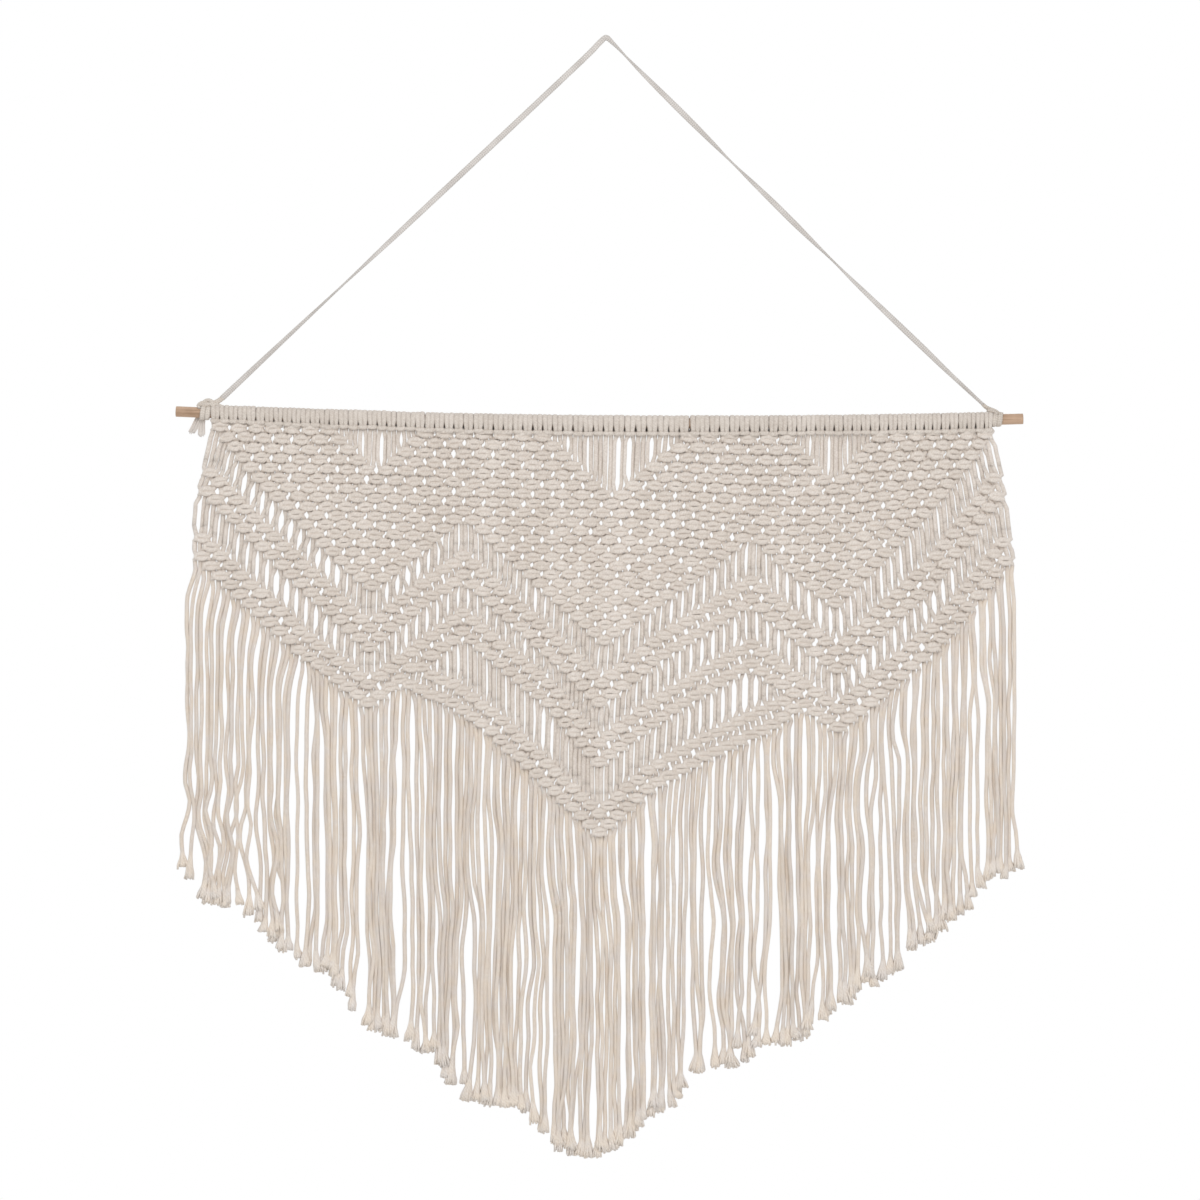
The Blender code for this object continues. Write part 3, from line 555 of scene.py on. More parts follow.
knots = []                     # [column, drop, zone]
for column in range(1, COLUMNS):
    last = along(PANEL_ROWS, column)
    for row in range(0, 25):
        if (column + row) % 2 == 0 or row > last + 0.01:
            continue
        if any(abs(column - c) + row < rows for c, rows in PLAIN):
            continue
        knots.append([column, row_drop(column, row), "upper"])
    a, b = along(BAND_A, column), along(BAND_B, column)
    knots.append([column, a - ROW_HALF, "middle"])
    knots.append([column, a + ROW_HALF, "middle"])
    low = [b - ROW_HALF, b + ROW_HALF]
    if 22 <= column <= 60:
        c = along(BAND_C, column)
        tip = [c - ROW_HALF, c + ROW_HALF]
        gap = tip[0] - low[1]
        if gap < 11.0:
            low[1] = (low[1] + tip[0]) / 2
            tip = tip[1:]
        elif gap < 19.0:
            low[1] -= (19.0 - gap) / 2
            tip[0] += (19.0 - gap) / 2
        knots += [[column, d, "tip"] for d in tip]
    knots += [[column, d, "lower"] for d in low]

for k in knots:
    column, drop, zone = k
    spacing = (column_across(column + 1, drop) - column_across(column - 1, drop)) / 4
    k += [column_across(column, drop) + rng.normal(0, 0.45), drop + rng.normal(0, 0.40),
          spacing * (1 + rng.normal(0, 0.035)), rng.normal(0, 0.06), rng.normal(0, 0.35),
          R_KNOT * (1 + rng.normal(0, 0.03)), own_rng.uniform(0.88, 1.02)]
# a knot: column, charted drop, zone, across, drop, spacing, tilt, depth, radius, how far its
# two front bars stand apart

# Paths of the working cords in a square knot: sideways in cord spacings, front in DEPTHs,
# down in mm, how many parts the curve to the next row is drawn in, and how plump the cord is.
# The first and last rows are where they come in and go out.
FRONT_WORKER = [
    (-1.50, 0.00, None, 1, .97), (-1.40, 0.20, -3.9, 2, .97), (-1.04, 0.72, -1.95, 2, 1.03),
    (-0.42, 1.00, -3.02, 1, 1.20), (0.34, 1.00, -3.12, 2, 1.20), (0.96, 0.66, -1.70, 1, 1.02),
    (1.25, 0.20, -0.8, 1, 1.0), (1.23, 0.20, 0.8, 1, 1.0), (0.92, 0.66, 1.70, 2, 1.02),
    (0.34, 1.00, 3.12, 1, 1.20), (-0.42, 1.00, 3.02, 2, 1.20), (-1.04, 0.64, 1.95, 2, 1.03),
    (-1.64, 0.05, 3.8, 1, .99), (-1.54, 0.00, None, 1, .97)]
BACK_WORKER = [
    (1.54, 0.00, None, 1, .97), (1.66, 0.34, -3.8, 1, .99), (1.40, 0.66, -2.5, 2, .97),
    (1.06, 0.05, -1.2, 1, .95), (0.66, -0.78, -1.5, 1, 1.0), (0.0, -1.0, -2.3, 1, 1.0),
    (-0.70, -0.85, -2.7, 1, 1.0), (-1.08, -0.10, -2.7, 2, 1.0), (-1.16, 0.76, -1.8, 2, .97),
    (-1.27, 1.00, 0.1, 2, .97), (-1.28, 0.72, 2.0, 2, .97), (-1.12, -0.10, 2.8, 1, 1.0),
    (-0.70, -0.85, 2.7, 1, 1.0), (0.0, -1.0, 2.3, 1, 1.0), (0.68, -0.75, 1.6, 1, 1.0),
    (1.00, 0.05, 1.3, 2, .95), (1.23, 0.68, 2.5, 1, .97), (1.42, 0.34, 4.0, 1, .97),
    (1.52, 0.00, None, 1, .97)]
CORE = [(0.44, 0.0, None, 1, 1.0), (0.42, 0.0, 0.0, 1, 1.0), (0.44, 0.0, None, 1, 1.0)]

by_column = {}
for k in knots:
    by_column.setdefault(k[0], []).append(k)


def knot_points(k, role, enter, leave):
    """Rows (across, front, drop, radius, zone) of one cord's way through a knot."""
    _, _, zone, x, d, spacing, tilt, depth, radius, apart = k
    table, sign = {"front": (FRONT_WORKER, 1), "back": (BACK_WORKER, 1),
                   "core_left": (CORE, -1), "core_right": (CORE, 1)}[role]
    ct, st = math.cos(tilt), math.sin(tilt)
    out = []
    for i, (u, f, w, parts, plump) in enumerate(table):
        z = (-enter if i == 0 else leave) if w is None else max(-enter, min(leave, w)) if abs(w) > 4 else w
        if f > 0.9 and role == "front":
            z *= apart
        a = sign * u * spacing
        out.append((x + a * ct - z * st, depth + f * DEPTH, d + a * st + z * ct, radius * plump,
                    zone, parts))
    return out


OPENNESS = {"gap_upper": OPEN_UPPER, "gap_middle": OPEN_MIDDLE, "gap_lower": OPEN_LOWER}
slit_own = {z: rng.uniform(-0.12, 0.12, COLUMNS + 1) for z in OPENNESS}


# The few slits that show in the plain triangles: cell, openness.
TRIANGLE_SLITS = {16: .3, 18: .5, 20: .4, 37: .35, 39: .3, 42: .6, 43: .7, 45: .6, 46: .3, 61: .35, 63: .4,
                  65: .35}


def openness(zone, cell):
    """How far the slit in a cell stands open, the same for both its cords."""
    if zone not in OPENNESS:
        return TRIANGLE_SLITS.get(cell, 0.0)
    return min(1.0, max(0.0, along(OPENNESS[zone], cell + 0.5) + slit_own[zone][cell]))


def gap_zone(before, after):
    if before == "head":
        return "upper"
    return {("upper", "middle"): "gap_upper", ("middle", "lower"): "gap_middle",
            ("lower", "tip"): "gap_lower"}.get((before, after), before)


def cord_controls(c):
    """All control rows of cord c, from under its lark's head to its last knot."""
    cell = c // 2
    left_in_cell = c % 2 == 0
    met = sorted(by_column.get(cell, []) + by_column.get(cell + 1, []), key=lambda k: k[4])
    head_x = column_across(cell + 0.5, 455)
    head_d = rod_drop(head_x)
    offset = -0.25 if left_in_cell else 0.25
    x0 = column_across(cell + 0.5 + offset, 460)
    rows = [(x0 * 0.6 + head_x * 0.4, 0.6, head_d + 9.5, R_KNOT, "upper", 1),
            (x0, 0.3, head_d + 15.5, R_KNOT, "upper", 1)]
    if met and met[0][4] - HALF_KNOT < head_d + 17.5:
        rows = rows[:1]
    zone = "head"
    for i, k in enumerate(met):
        on_left = k[0] == cell                       # the knot lies on the cell's left column
        if on_left:
            role = "core_right" if left_in_cell else "back"
        else:
            role = "front" if left_in_cell else "core_left"
        before = k[4] - met[i - 1][4] if i else k[4] - (head_d + 8)
        after = met[i + 1][4] - k[4] if i + 1 < len(met) else 99
        enter = min(HALF_KNOT, before / 2)
        leave = min(HALF_KNOT, after / 2)
        points = knot_points(k, role, enter, leave)
        # unknotted stretch before this knot
        start = rows[-1]
        free = points[0][2] - start[2]
        if free > 6:
            between = gap_zone(zone, k[2])
            steps = max(2, int(free / 8.5))
            away = -1 if left_in_cell else 1                   # away from the slit in this cell
            open_here = openness(between, cell)
            grip = smooth01(free / 16.0)
            own_pitch = column_across(cell + 1, start[2] + free / 2) - column_across(cell, start[2] + free / 2)
            r_loose = min(3.35, max(R_LOOSE, own_pitch * 0.262))
            r = r_loose + (R_TIGHT - r_loose) * min(1.0, max(0.0, open_here * 1.25))
            bow = rng.normal(0, 0.3)
            outer = -0.9 if c == 0 else 0.9 if c == 2 * HEADS - 1 else 0.0
            for q in range(1, steps + 1):
                t = q / (steps + 1)
                d = start[2] + free * t
                pitch = column_across(cell + 1, d) - column_across(cell, d)
                mid = column_across(cell + 0.5, d) + away * pitch * 0.25
                pull = smooth01(min(t, 1 - t) * free / 6.5) * grip
                x = start[0] + (points[0][0] - start[0]) * t
                x += (mid - x) * pull + away * 2.6 * open_here * pull + outer * pull
                x += bow * math.sin(math.pi * t)
                front = (1.0 + 0.9 * open_here) * (1 if left_in_cell else -1) * pull
                rows.append((x + rng.normal(0, 0.10), front + rng.normal(0, 0.25), d,
                             R_KNOT + (r - R_KNOT) * pull, between, 1))
        rows += points
        zone = k[2]
    # +1 where the last knot is on the cell's right column, -1 where it is on its left
    return rows, zone, (1 if met[-1][0] == cell + 1 else -1)


# Where the hanging ends lie: partings open between them, the rest share the room evenly.
natural = np.array([column_across((c + 0.5) / 2, 921) for c in range(2 * HEADS)])
marks = []
for top, *way in PARTINGS:
    index = 2 * int(np.argmin([abs((natural[i - 1] + natural[i]) / 2 - top)
                               for i in range(2, 2 * HEADS - 1, 2)])) + 2
    marks.append((index, way))
marks.sort(key=lambda m: m[0])
for i in range(1, len(marks)):
    if marks[i][0] <= marks[i - 1][0]:
        marks[i] = (marks[i - 1][0] + 1, marks[i][1])

# The two ends of a cell hang together; between the pairs a slit runs down from the knots.
# Column, mean width of the slits there in mm.
SLIT_WIDTHS = [(0, 1.5), (16, 1.4), (19, 1.3), (26, 1.3), (29, 1.0), (41, 1.1), (43, 1.5), (55, 1.5),
               (57, 1.9), (80, 1.9)]
slits = [(along(SLIT_WIDTHS, h) * rng.uniform(0.45, 1.55), rng.uniform(90, 330), rng.uniform(0, 6.28),
          rng.uniform(70, 150)) for h in range(COLUMNS + 1)]


# Some pairs of ends stand a little apart too: cell, (width, wave, turn).
pairs_apart = [(max(0.0, own_rng.uniform(-0.9, 1.7)), own_rng.uniform(90, 260), own_rng.uniform(0, 6.28))
               for _ in range(COLUMNS)]


def pair_apart(cell, drop):
    """How much further apart than usual the two ends of a cell lie."""
    width, wave, turn = pairs_apart[cell]
    return width * max(0.0, 0.45 + math.sin(drop / wave * 6.28 + turn))


def slit_width(h, drop, below):
    """Width of the slit at a column line, this far below its knots."""
    width, run, turn, wave = slits[h]
    held = 0.05 + 0.95 * (1 - smooth01((below - run) / 90.0))
    return width * held * (1 + 0.35 * math.sin(drop / wave * 6.28 + turn))


def lie(drop):
    """Across of all the hanging ends at one drop."""
    at, want = [0.0], [natural[0] + 2.0 * math.sin((drop - 700) / 90.0)]
    for index, way in marks:
        ds = [r[0] for r in way]
        strength = smooth01((drop - ds[0] + 25) / 50.0) * smooth01((ds[-1] + 70 - drop) / 60.0)
        centre = np.interp(drop, ds, [r[1] for r in way])
        width = np.interp(drop, ds, [r[2] for r in way])
        plain = (natural[index - 1] + natural[index]) / 2
        centre = plain + min(7.0, max(-7.0, centre - plain)) * strength
        half = 2.75 + 0.48 * width * strength
        at += [index - 1, index]
        want += [centre - half, centre + half]
    at.append(2 * HEADS - 1)
    want.append(natural[-1] + 1.2 * math.sin((drop - 600) / 75.0))
    at, want = np.array(at, float), np.array(want)
    keep = [0]
    for i in range(1, len(at)):
        if at[i] > at[keep[-1]]:
            keep.append(i)
    place = np.interp(np.arange(2 * HEADS), at[keep], want[keep])
    for _ in range(80):                       # crowded ends push each other aside
        push = 0.5 * np.maximum(0.0, 4.0 - np.diff(place))
        place[1:-1] += push[:-1] - push[1:]
    return place


LEVELS = np.arange(480.0, 1341.0, 12.0)
LAY = np.array([lie(d) for d in LEVELS])


def lie_of(c, drop):
    return float(np.interp(drop, LEVELS, LAY[:, c]))


foot = {}
for c in range(2 * HEADS):
    d = along(FOOT, natural[c])
    for _ in range(3):
        d = along(FOOT, lie_of(c, d))
    d += rng.normal(0, 2.4)
    chance = rng.random()
    if chance < 0.06:
        d += rng.uniform(5, 12)
    elif chance < 0.20:
        d -= rng.uniform(3, 12)
    foot[c] = min(d, 1319.0)


brush = rng.uniform(16.0, 29.0, 2 * HEADS)


def fringe_controls(c, start, lower_side):
    x0, _, d0 = start[:3]
    d1 = foot[c] - brush[c]
    length = d1 - d0
    n = max(5, int(length / 20))
    own = [(rng.uniform(0.3, 0.9), rng.uniform(110, 210), rng.uniform(0, 6.28)),
           (rng.uniform(0.2, 0.65), rng.uniform(46, 90), rng.uniform(0, 6.28))]
    inward = 1 if c % 2 == 0 else -1
    line_beside = (c + 1) // 2
    deep = (rng.uniform(0.5, 1.6), rng.uniform(90, 220), rng.uniform(0, 6.28))
    layer = (1.0 if c % 2 else -1.0) + rng.normal(0, 0.5)
    lean = rng.normal(0, 2.6)
    curl = rng.normal(0, 1.0)
    base = x0 - lie_of(c, d0)
    # the first ends on the left hang in waves and over each other
    tangle = (own_rng.uniform(1.6, 4.2), own_rng.uniform(58, 95), own_rng.uniform(0, 6.28)) if c < 19 else None
    rows = []
    for t in [9.0 / length] + [i / n for i in range(1, n + 1)]:
        d = d0 + length * t
        s = d - d0
        ease = smooth01(s / 55.0)
        x = lie_of(c, d) + base * (1 - ease)
        x += inward * (0.10 + 0.5 * slit_width(line_beside, d, s)
                       - 0.5 * pair_apart(c // 2, d) * smooth01((s - 20) / 60.0)) * smooth01(s / 12.0)
        x += lower_side * 1.3 * smooth01(s / 12.0) * math.exp(-s / 110.0)
        for size, pitch, turn in own:
            x += ease * size * math.sin(2 * math.pi * d / pitch + turn)
        last = smooth01((s - length + 75) / 75.0)
        x += lean * last + curl * math.sin(last * 4.2)
        if tangle:
            x += tangle[0] * smooth01((s - length + 170) / 90.0) * math.sin(2 * math.pi * d / tangle[1] + tangle[2])
        y = layer * smooth01(s / 45.0) + deep[0] * ease * math.sin(2 * math.pi * d / deep[1] + deep[2])
        r = R_KNOT + (R_FRINGE - R_KNOT) * smooth01(s / 40.0)
        rows.append((x, y, d, r * (1 + rng.normal(0, 0.02)), "fringe", 2))
    x, y, d, r, zone, parts = rows[-1]
    lead = x - rows[-2][0]
    rows.append((x + lead * 0.15, y, d + 4.0, r * 0.98, zone, 1))
    rows.append((x + lead * 0.30, y, d + 8.0, r * 0.70, zone, 1))
    rows.append((x + lead * 0.40, y, d + 11.0, r * 0.35, zone, 1))
    return rows


ZONES = ("upper", "gap_upper", "middle", "gap_middle", "lower", "gap_lower", "tip", "fringe")
sets = {}


def tubes_for(zone, cell):
    if zone == "upper":
        key = "net_upper_" + ("left" if cell < 27 else "middle" if cell < 56 else "right")
    else:
        key = {"gap_upper": "cords_upper", "middle": "net_middle", "gap_middle": "cords_middle",
               "lower": "net_lower", "gap_lower": "cords_lower", "tip": "net_tip",
               "fringe": "fringe"}[zone]
    if key not in sets:
        sets[key] = Tubes(6)
    return sets[key]


total_length = 0.0
ends = []
for c in range(2 * HEADS):
    rows, zone, lower_side = cord_controls(c)
    rows += fringe_controls(c, rows[-1], lower_side)
    numbers = np.array([r[:4] for r in rows])
    steps = [r[5] for r in rows[:-1]]
    line, span = spline(numbers, np.array(steps))
    p = line[:, :3]
    side, tangent = carried_frames(p)
    zones = [rows[s + 1][4] for s in span]
    tone = float(np.clip(rng.normal(0.5, 0.28), 0, 1))
    length = np.concatenate([[0], np.cumsum(np.linalg.norm(np.diff(p, axis=0), axis=1))])
    total_length += length[-1]
    start = 0
    for i in range(1, len(p)):
        if i == len(p) - 1 or zones[i] != zones[start]:
            stop = i + 1
            if stop - start >= 2:
                tubes_for(zones[start], c // 2).add(
                    p[start:stop], side[start:stop], tangent[start:stop],
                    line[start:stop, 3], line[start:stop, 3], length[start] + 37.0 * c, tone)
            start = i
    root = np.array(rows[-4][:3])
    way = np.array(rows[-2][:3]) - root
    ends.append((root, way / np.linalg.norm(way), rows[-4][3], tone, c))

# Frayed ends: the yarns open into a soft brush, cut off nearly level.
tufts = Tubes(4)
for p, t, r, tone, c in ends:
    count = 19
    fan = rng.uniform(3.2, 5.6)
    sway = rng.normal(0, 2.2)
    for i in range(count):
        a = 2 * math.pi * (i + 0.8 * rng.random()) / count
        inner = i % 3 == 0
        rim = r * (0.30 if inner else rng.uniform(0.58, 0.68))
        out = np.array([math.cos(a), 0.85 * math.sin(a), 0.0])
        reach = brush[c] * rng.uniform(0.90, 1.04)
        if rng.random() < 0.08:
            reach += rng.uniform(1.0, 3.0)
        bend = np.array([rng.normal(0, 0.4), rng.normal(0, 0.35), 0])
        lean = np.array([sway, 0, 0])
        own = fan * rng.uniform(0.45, 1.15)
        along_end = t * reach
        q = np.array([p + out * rim * 0.8 - t * 4.0,
                      p + out * (rim + own * 0.06) + along_end * 0.18,
                      p + out * (rim + own * 0.34) + lean * 0.25 + bend * 0.7 + along_end * 0.45,
                      p + out * (rim + own * 0.78) + lean * 0.65 - bend * 0.5 + along_end * 0.75,
                      p + out * (rim + own) + lean + bend + along_end])
        q[:, 2] = np.minimum(q[:, 2], 1334.0 + 0.2 * np.arange(5))
        side, tangent = carried_frames(q)
        thick = np.array([0.9, 1.25, 1.45, 1.45, 1.15])
        # the tone is raised by 0.15 on the brush yarns: painted light against the brush's own shade
        tufts.add(q, side, tangent, thick, thick, 11.0 * c + i, min(1.0, tone + 0.15))

pieces = {}
REPLACED = {"net_upper_left": "net_upper", "net_upper_middle": "net_upper",
            "net_upper_right": "net_upper"}
for key, tubes in sets.items():
    ob = tubes.build(key + "_cords", MAT_FRINGE if key == "fringe" else MAT_CORD)
    pieces[key] = ob
    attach(ob, "root")
    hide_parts(REPLACED.get(key, key))
ob = tufts.build("fringe_frayed_ends", MAT_YARN_PAINTED_LIGHT)
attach(ob, "root")
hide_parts("fringe")


# ----------------------------------------------------------------------------
# Heading: lark's heads round the dowel
# ----------------------------------------------------------------------------
BAR_DROP = [(-450, 8.7), (-360, 9.8), (-240, 11.2), (-125, 12.2), (0, 12.5), (230, 12.2), (450, 12.3)]
heads = Tubes(8)
bars = Tubes(8)
notch_rng = np.random.default_rng(77)
for k in range(HEADS):
    cx = middle = column_across(k + 0.5, 455)
    half = (column_across(k + 1, 455) - column_across(k, 455)) / 2
    if k == 48:
        cx -= 0.9
    if k == 49:
        cx += 0.9
    cd = rod_drop(cx)
    bar = along(BAR_DROP, cx) + rng.normal(0, 0.3)
    tone = float(np.clip(rng.normal(0.5, 0.2), 0, 1))
    tilt = rng.normal(0, 0.25)
    for s in (-1, 1):
        wide = half * 0.53 * (1 + rng.normal(0, 0.02))
        x_top = cx + s * half * 0.5 + rng.normal(0, 0.2)
        x_low = cx + s * half * 0.485
        bulge = rng.normal(0, 0.22)
        behind = middle + s * half * 0.50
        notch = notch_rng.uniform(0.2, 1.25)      # a dark nick where two heads part at the bar
        lift = 0.35 + 0.65 * float(smooth01((-200 - cx) / 90.0))
        rows = [(cx + s * half * (0.45 - 0.07 * notch), 4.6, bar - 0.4, wide * (0.80 - 0.06 * notch), 1.9),
                (cx + s * half * (0.470 - 0.06 * notch), 6.6, bar * 0.66, wide * (0.93 - 0.14 * notch), 1.7)]
        for angle in (-8, 18, 45, 70, 95, 120, 150, 185, 225):
            a = math.radians(angle)
            r = ROD_RADIUS + 1.5 + bulge * 0.5 + lift * float(smooth01(math.sin(a)))
            w = wide
            mix = smooth01((angle + 20) / 60)
            rows.append((x_low + (x_top + tilt - x_low) * mix, r * math.cos(a), -r * math.sin(a),
                         w * 1.02, 1.55 + bulge * 0.3))
        rows += [(behind, -3.4, bar * 0.78, wide * 0.99, 1.8), (behind, 0.3, bar + 0.2, wide * 0.93, 2.0),
                 (x_low, 0.6, bar + 5.0, wide * 0.8, 2.0)]
        q = np.array(rows)
        line, _ = spline(q, np.array([1, 1, 1, 2, 2, 2, 2, 2, 1, 1, 1, 1, 1]))
        p = line[:, :3] + np.array([0, 0, cd])
        tangent = tangents(p)
        side = np.tile((1.0, 0.0, 0.0), (len(p), 1))
        side -= (side * tangent).sum(1)[:, None] * tangent
        side /= np.linalg.norm(side, axis=1)[:, None]
        heads.add(p, side, tangent, line[:, 3], line[:, 4], 23.0 * (2 * k + s), tone)
    reach = half * 0.94
    q = np.array([(middle - reach, 3.9, bar - 1.2, 1.5), (middle - reach * 0.78, 5.5, bar - 0.2, 2.45),
                  (middle - reach * 0.35, 6.3, bar + 0.3, 2.75), (middle + reach * 0.35, 6.3, bar + 0.3, 2.75),
                  (middle + reach * 0.78, 5.5, bar - 0.2, 2.45), (middle + reach, 3.9, bar - 1.2, 1.5)])
    line, _ = spline(q, np.full(len(q) - 1, 2))
    p = line[:, :3] + np.array([0, 0, cd + rng.normal(0, 0.2)])
    side, tangent = carried_frames(p)
    bars.add(p, side, tangent, line[:, 3], line[:, 3], 29.0 * k, tone)
for name, tubes in (("heading_wraps", heads), ("heading_bars", bars)):
    ob = tubes.build(name, MAT_HEAD)
    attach(ob, "root")
    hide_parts("heading")


# ----------------------------------------------------------------------------
# The dowel
# ----------------------------------------------------------------------------
rod = Tubes(32)
xs = np.linspace(ROD_LEFT, ROD_RIGHT, 61)
xs = np.concatenate([[ROD_LEFT + 0.02], xs[:1] + 0.35, xs[1:-1], xs[-1:] - 0.35, [ROD_RIGHT - 0.02]])
p = np.stack([xs, 0.03 * np.sin(xs / 37.0), np.array([rod_drop(x) for x in xs])], -1)
radius = ROD_RADIUS + 0.05 * np.sin(xs / 61.0) + 0.03 * np.sin(xs / 17.0)
radius[0] -= 0.35
radius[-1] -= 0.35
side, tangent = carried_frames(p)
rod.add(p, side, tangent, radius, radius)
ob = rod.build("dowel", MAT_WOOD)
ob.data.set_sharp_from_angle(angle=math.radians(35))
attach(ob, "root")
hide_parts("rod")


# ----------------------------------------------------------------------------
# Hanging cord and its knots
# ----------------------------------------------------------------------------
def braid_tube(tubes, rows, spacing=0.9, v_start=0.0, tone=0.5, start_side=None, twist=None,
               keep_side=None):
    """Flat braid along rows (across, front, drop, half width, half thickness)."""
    q = np.array(rows, float)
    dist = np.linalg.norm(np.diff(q[:, :3], axis=0), axis=1)
    line, _ = spline(q, np.maximum(1, np.round(dist / spacing)).astype(int))
    p = line[:, :3]
    side, tangent = carried_frames(p, start_side or (0.0, 1.0, 0.0))
    if keep_side is not None:
        side = np.tile(np.array(keep_side, float), (len(p), 1))
        side -= (side * tangent).sum(1)[:, None] * tangent
        side /= np.linalg.norm(side, axis=1)[:, None]
    if twist is not None:
        at = np.radians(line[:, twist])
        other = np.cross(tangent, side)
        side = side * np.cos(at)[:, None] + other * np.sin(at)[:, None]
    s = tubes.sides
    length = np.concatenate([[0], np.cumsum(np.linalg.norm(np.diff(p, axis=0), axis=1))])
    around = np.arange(s) / s
    slant = np.abs(((around * 8) % 2) - 1)
    phase = (length[:, None] + v_start) / 2.6 + 0.55 * slant[None, :]
    lobes = 1 + 0.055 * np.cos(2 * math.pi * phase)
    tubes.add(p, side, tangent, line[:, 3], line[:, 4], v_start, tone, lobes)
    return p


cord_tubes = Tubes(12)
# the braid's broad side is across the line of the cord; the side vector starts in the picture's plane
rows = [(x, 0.0, d, BRAID_HALF_WIDTH, BRAID_HALF_THICK, a) for x, d, a in CORD_ROUTE]
path = braid_tube(cord_tubes, rows, 1.3, start_side=(-0.69, 0.0, -0.72), twist=5)
cord = cord_tubes.build("hanging_braid", MAT_BRAID)
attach(cord, "root")
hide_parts("hanging_cord")
world_path = [(float(x) * MM, float(-y) * MM, float(-z) * MM) for x, y, z in path[::4]]
if tuple(path[-1]) != tuple(path[::4][-1]):
    world_path.append((float(path[-1][0]) * MM, float(-path[-1][1]) * MM, float(-path[-1][2]) * MM))
run = sum(math.dist(a, b) for a, b in zip(world_path, world_path[1:]))

W, T = BRAID_HALF_WIDTH, BRAID_HALF_THICK


def turns(x_from, x_to, count, radius, half_width, half_thick, start=60, extra=0):
    """Rows of turns round the dowel, starting at an angle in degrees (90 is the top)."""
    out = []
    steps = int(count * 16)
    for i in range(steps + 1):
        t = i / steps
        a = math.radians(start + 360 * count * t)
        x = x_from + (x_to - x_from) * t
        out.append((x, radius * math.cos(a), rod_drop(x) - radius * math.sin(a), half_width, half_thick))
    return out


left = Tubes(12)
# two turns round the dowel
rows = turns(-478.6, -466.7, 2.0, ROD_RADIUS + 1.35, 3.0, 1.25, start=180)
braid_tube(left, rows, 1.0, keep_side=(1.0, 0.0, 0.0), v_start=5)
# the knot's body on top: the standing end comes in, loops over and under itself
rows = [(-452.6, 0.0, 422.2, 3.1, 1.3), (-457.0, -0.6, 425.6, 3.0, 1.8), (-463.5, -1.0, 428.3, 2.9, 2.2),
        (-470.5, -1.4, 428.0, 2.8, 2.4), (-477.0, -0.4, 428.6, 2.7, 2.4), (-480.8, 2.6, 431.6, 2.6, 2.0),
        (-479.6, 6.2, 434.4, 2.6, 1.7)]
braid_tube(left, rows, 1.0, start_side=(0.61, 0.0, 0.79), v_start=60)
rows = [(-478.5, -5.0, 431.6, 2.4, 1.6), (-475.5, -3.4, 427.6, 2.7, 2.2), (-471.0, -1.6, 425.2, 2.9, 2.3),
        (-466.4, 0.8, 426.2, 2.9, 2.2), (-463.6, 3.2, 430.0, 2.6, 1.8), (-465.5, 5.6, 433.2, 2.4, 1.6)]
braid_tube(left, rows, 1.0, start_side=(0.0, 1.0, 0.0), v_start=90)
rows = [(-479.5, 1.0, 431.0, 2.2, 1.9), (-474.0, 2.4, 430.6, 2.8, 2.4), (-467.0, 2.6, 430.2, 2.9, 2.5),
        (-460.0, 1.2, 430.4, 2.5, 2.2), (-454.5, -1.2, 431.6, 2.0, 1.6)]
braid_tube(left, rows, 1.0, start_side=(0.0, 1.0, 0.0), v_start=110)
# two short tails, cut and frayed
tails = [
    [(-477.6, -7.4, 437.0, 2.6, 1.4), (-480.3, -7.2, 444.0, 3.6, 1.5), (-483.0, -6.2, 450.5, 4.0, 1.5),
     (-486.3, -4.0, 457.4, 3.9, 1.6), (-489.6, -2.2, 464.4, 3.4, 1.6)],
    [(-474.0, -7.9, 437.0, 2.6, 1.4), (-477.0, -7.6, 444.0, 3.5, 1.5), (-478.2, -6.2, 451.0, 3.9, 1.5),
     (-478.0, -3.8, 459.5, 3.6, 1.6), (-477.8, -1.9, 467.4, 3.5, 1.6)]]
yarns = Tubes(6)
for i, rows in enumerate(tails):
    q = np.array(rows)
    for j in range(11):
        u = (j / 10 - 0.5) * 2
        front = rng.normal(0, 0.5)
        wave, turn = rng.uniform(0.1, 0.35), rng.uniform(0, 6.28)
        cut = rng.uniform(-1.2, 1.4)
        seg = []
        for m, (x, f, d, wide, thick) in enumerate(q):
            last = m == len(q) - 1
            seg.append((x + u * wide * (1.0 if m else 0.8) + wave * math.sin(turn + 1.7 * m),
                        f + front * min(1.0, m * 0.6) + (thick - 0.6) * (1 if j % 2 else -1) * 0.5,
                        d - 1.6 * u * u * (1 if last else 0) + (cut if last else 0.0)))
        line, _ = spline(np.array(seg), np.full(len(seg) - 1, 3))
        side, tangent = carried_frames(line)
        size = np.linspace(0.72, 0.95, len(line))
        size[-1] = 0.6
        yarns.add(line, side, tangent, size, size, 7.0 * j + 90 * i, float(rng.uniform(0.2, 0.8)))
ob = yarns.build("tie_left_tails", MAT_TAILS)
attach(ob, "root")
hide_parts("tie_left")
ob = left.build("tie_left_knot", MAT_TIED)
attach(ob, "root")
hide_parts("tie_left")

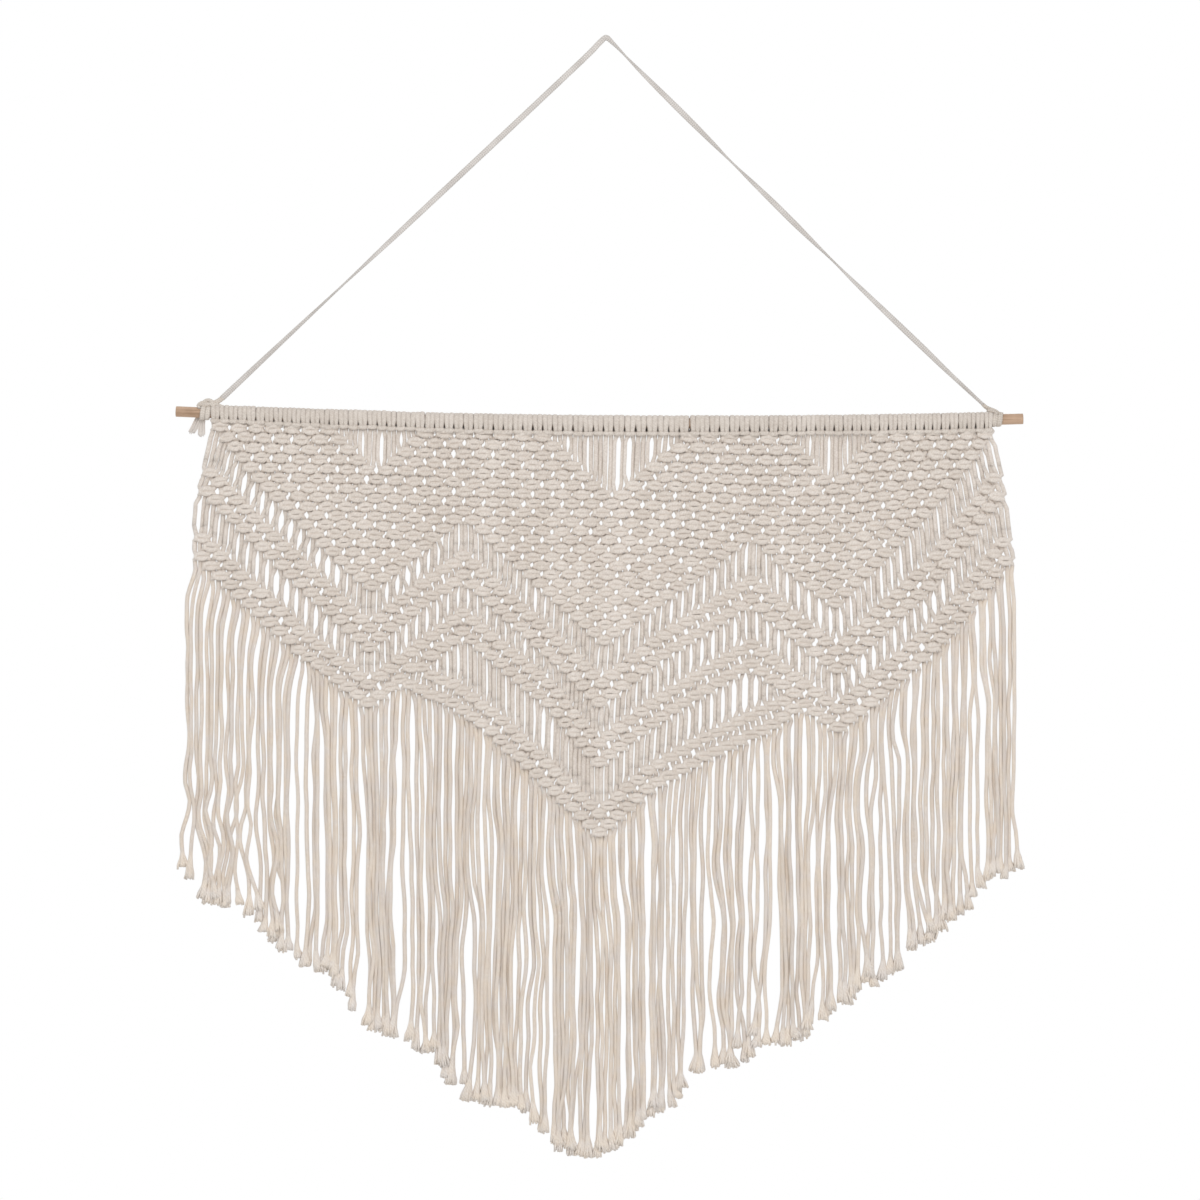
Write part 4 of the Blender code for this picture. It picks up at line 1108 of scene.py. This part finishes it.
right = Tubes(12)
rows = turns(455.9, 467.3, 2.0, ROD_RADIUS + 1.35, 3.05, 1.25, start=180)
braid_tube(right, rows, 1.0, keep_side=(1.0, 0.0, 0.0), v_start=8)
rows = [(444.6, 0.0, 429.8, 2.6, 1.3), (448.8, -0.4, 433.4, 2.7, 1.6), (453.6, -0.6, 435.9, 2.9, 1.9),
        (458.8, 0.4, 438.0, 3.0, 1.9), (462.8, 2.6, 440.6, 2.9, 1.5), (464.4, 5.6, 444.0, 2.8, 1.2)]
braid_tube(right, rows, 1.0, start_side=(0.3, 0.6, -0.6), v_start=70)
rows = [(449.6, -2.6, 437.0, 2.2, 1.6), (454.4, -2.2, 437.6, 2.8, 2.0), (458.8, -3.2, 439.2, 2.8, 1.8),
        (461.4, -5.6, 442.0, 2.6, 1.3)]
braid_tube(right, rows, 1.0, start_side=(0.0, 1.0, 0.0), v_start=115)
rows = [(450.4, 1.6, 437.4, 2.0, 1.6), (454.6, 2.8, 437.6, 2.6, 1.9), (459.0, 3.8, 439.4, 2.7, 1.7),
        (462.0, 6.0, 442.6, 2.5, 1.3)]
braid_tube(right, rows, 1.0, start_side=(0.0, 1.0, 0.0), v_start=95)
ob = right.build("tie_right_wraps", MAT_TIED)
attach(ob, "root")
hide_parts("tie_right")


# ----------------------------------------------------------------------------
# Stage, light and camera
# ----------------------------------------------------------------------------
scene = bpy.context.scene
scene.view_settings.view_transform = "Standard"
scene.view_settings.look = "None"
scene.view_settings.exposure = 0.0
scene.view_settings.gamma = 1.0

bpy.ops.mesh.primitive_plane_add(size=6.0, location=(0, 0, -2.0))
floor = bpy.context.object
floor.name = "floor"
floor_mat = Nodes("pale_floor")
floor_mat.shader.inputs["Base Color"].default_value = (0.86, 0.855, 0.845, 1)
floor_mat.shader.inputs["Roughness"].default_value = 0.9
floor.data.materials.append(floor_mat.mat)

world = bpy.data.worlds.new("studio")
scene.world = world
world.use_nodes = True
wt = world.node_tree
wt.nodes.clear()
out = wt.nodes.new("ShaderNodeOutputWorld")
seen = wt.nodes.new("ShaderNodeBackground")
seen.inputs[0].default_value = (1, 1, 1, 1)
seen.inputs[1].default_value = 1.0
fill = wt.nodes.new("ShaderNodeBackground")
fill.inputs[0].default_value = (0.985, 0.99, 1.0, 1)
fill.inputs[1].default_value = 0.675
mix = wt.nodes.new("ShaderNodeMixShader")
rays = wt.nodes.new("ShaderNodeLightPath")
wt.links.new(rays.outputs["Is Camera Ray"], mix.inputs[0])
wt.links.new(fill.outputs[0], mix.inputs[1])
wt.links.new(seen.outputs[0], mix.inputs[2])
wt.links.new(mix.outputs[0], out.inputs[0])


def area(name, location, target, size, power, colour=(1, 1, 1)):
    data = bpy.data.lights.new(name, "AREA")
    data.shape = "SQUARE"
    data.size = size
    data.energy = power
    data.color = colour
    ob = bpy.data.objects.new(name, data)
    ob.location = location
    ob.rotation_euler = (Vector(target) - Vector(location)).to_track_quat("-Z", "Y").to_euler()
    scene.collection.objects.link(ob)
    return ob


middle = (0.0, 0.0, -0.7)
area("key", (-0.9, -3.4, 1.3), middle, 2.0, 36.5, (1.0, 0.99, 0.97))
area("side", (1.6, -3.3, 0.0), middle, 2.0, 18.5)
area("back", (0.6, 2.6, 0.6), middle, 1.8, 32)

cam_data = bpy.data.cameras.new("camera")
cam = bpy.data.objects.new("camera", cam_data)
scene.collection.objects.link(cam)
scene.camera = cam
FIELD = 1.4167                     # metres that the picture shows at the hanging
DISTANCE = 5.2
cam_data.sensor_width = 36.0
cam_data.lens = 36.0 * DISTANCE / FIELD
cam_data.sensor_fit = "AUTO"
cam_data.clip_end = 100
cam.location = (-0.0071, -DISTANCE, -0.661)
cam.rotation_euler = (math.radians(90), 0, 0)

print("cord in the net, m:", round(total_length / 1000, 1), "hanging braid, m:", round(run, 3))
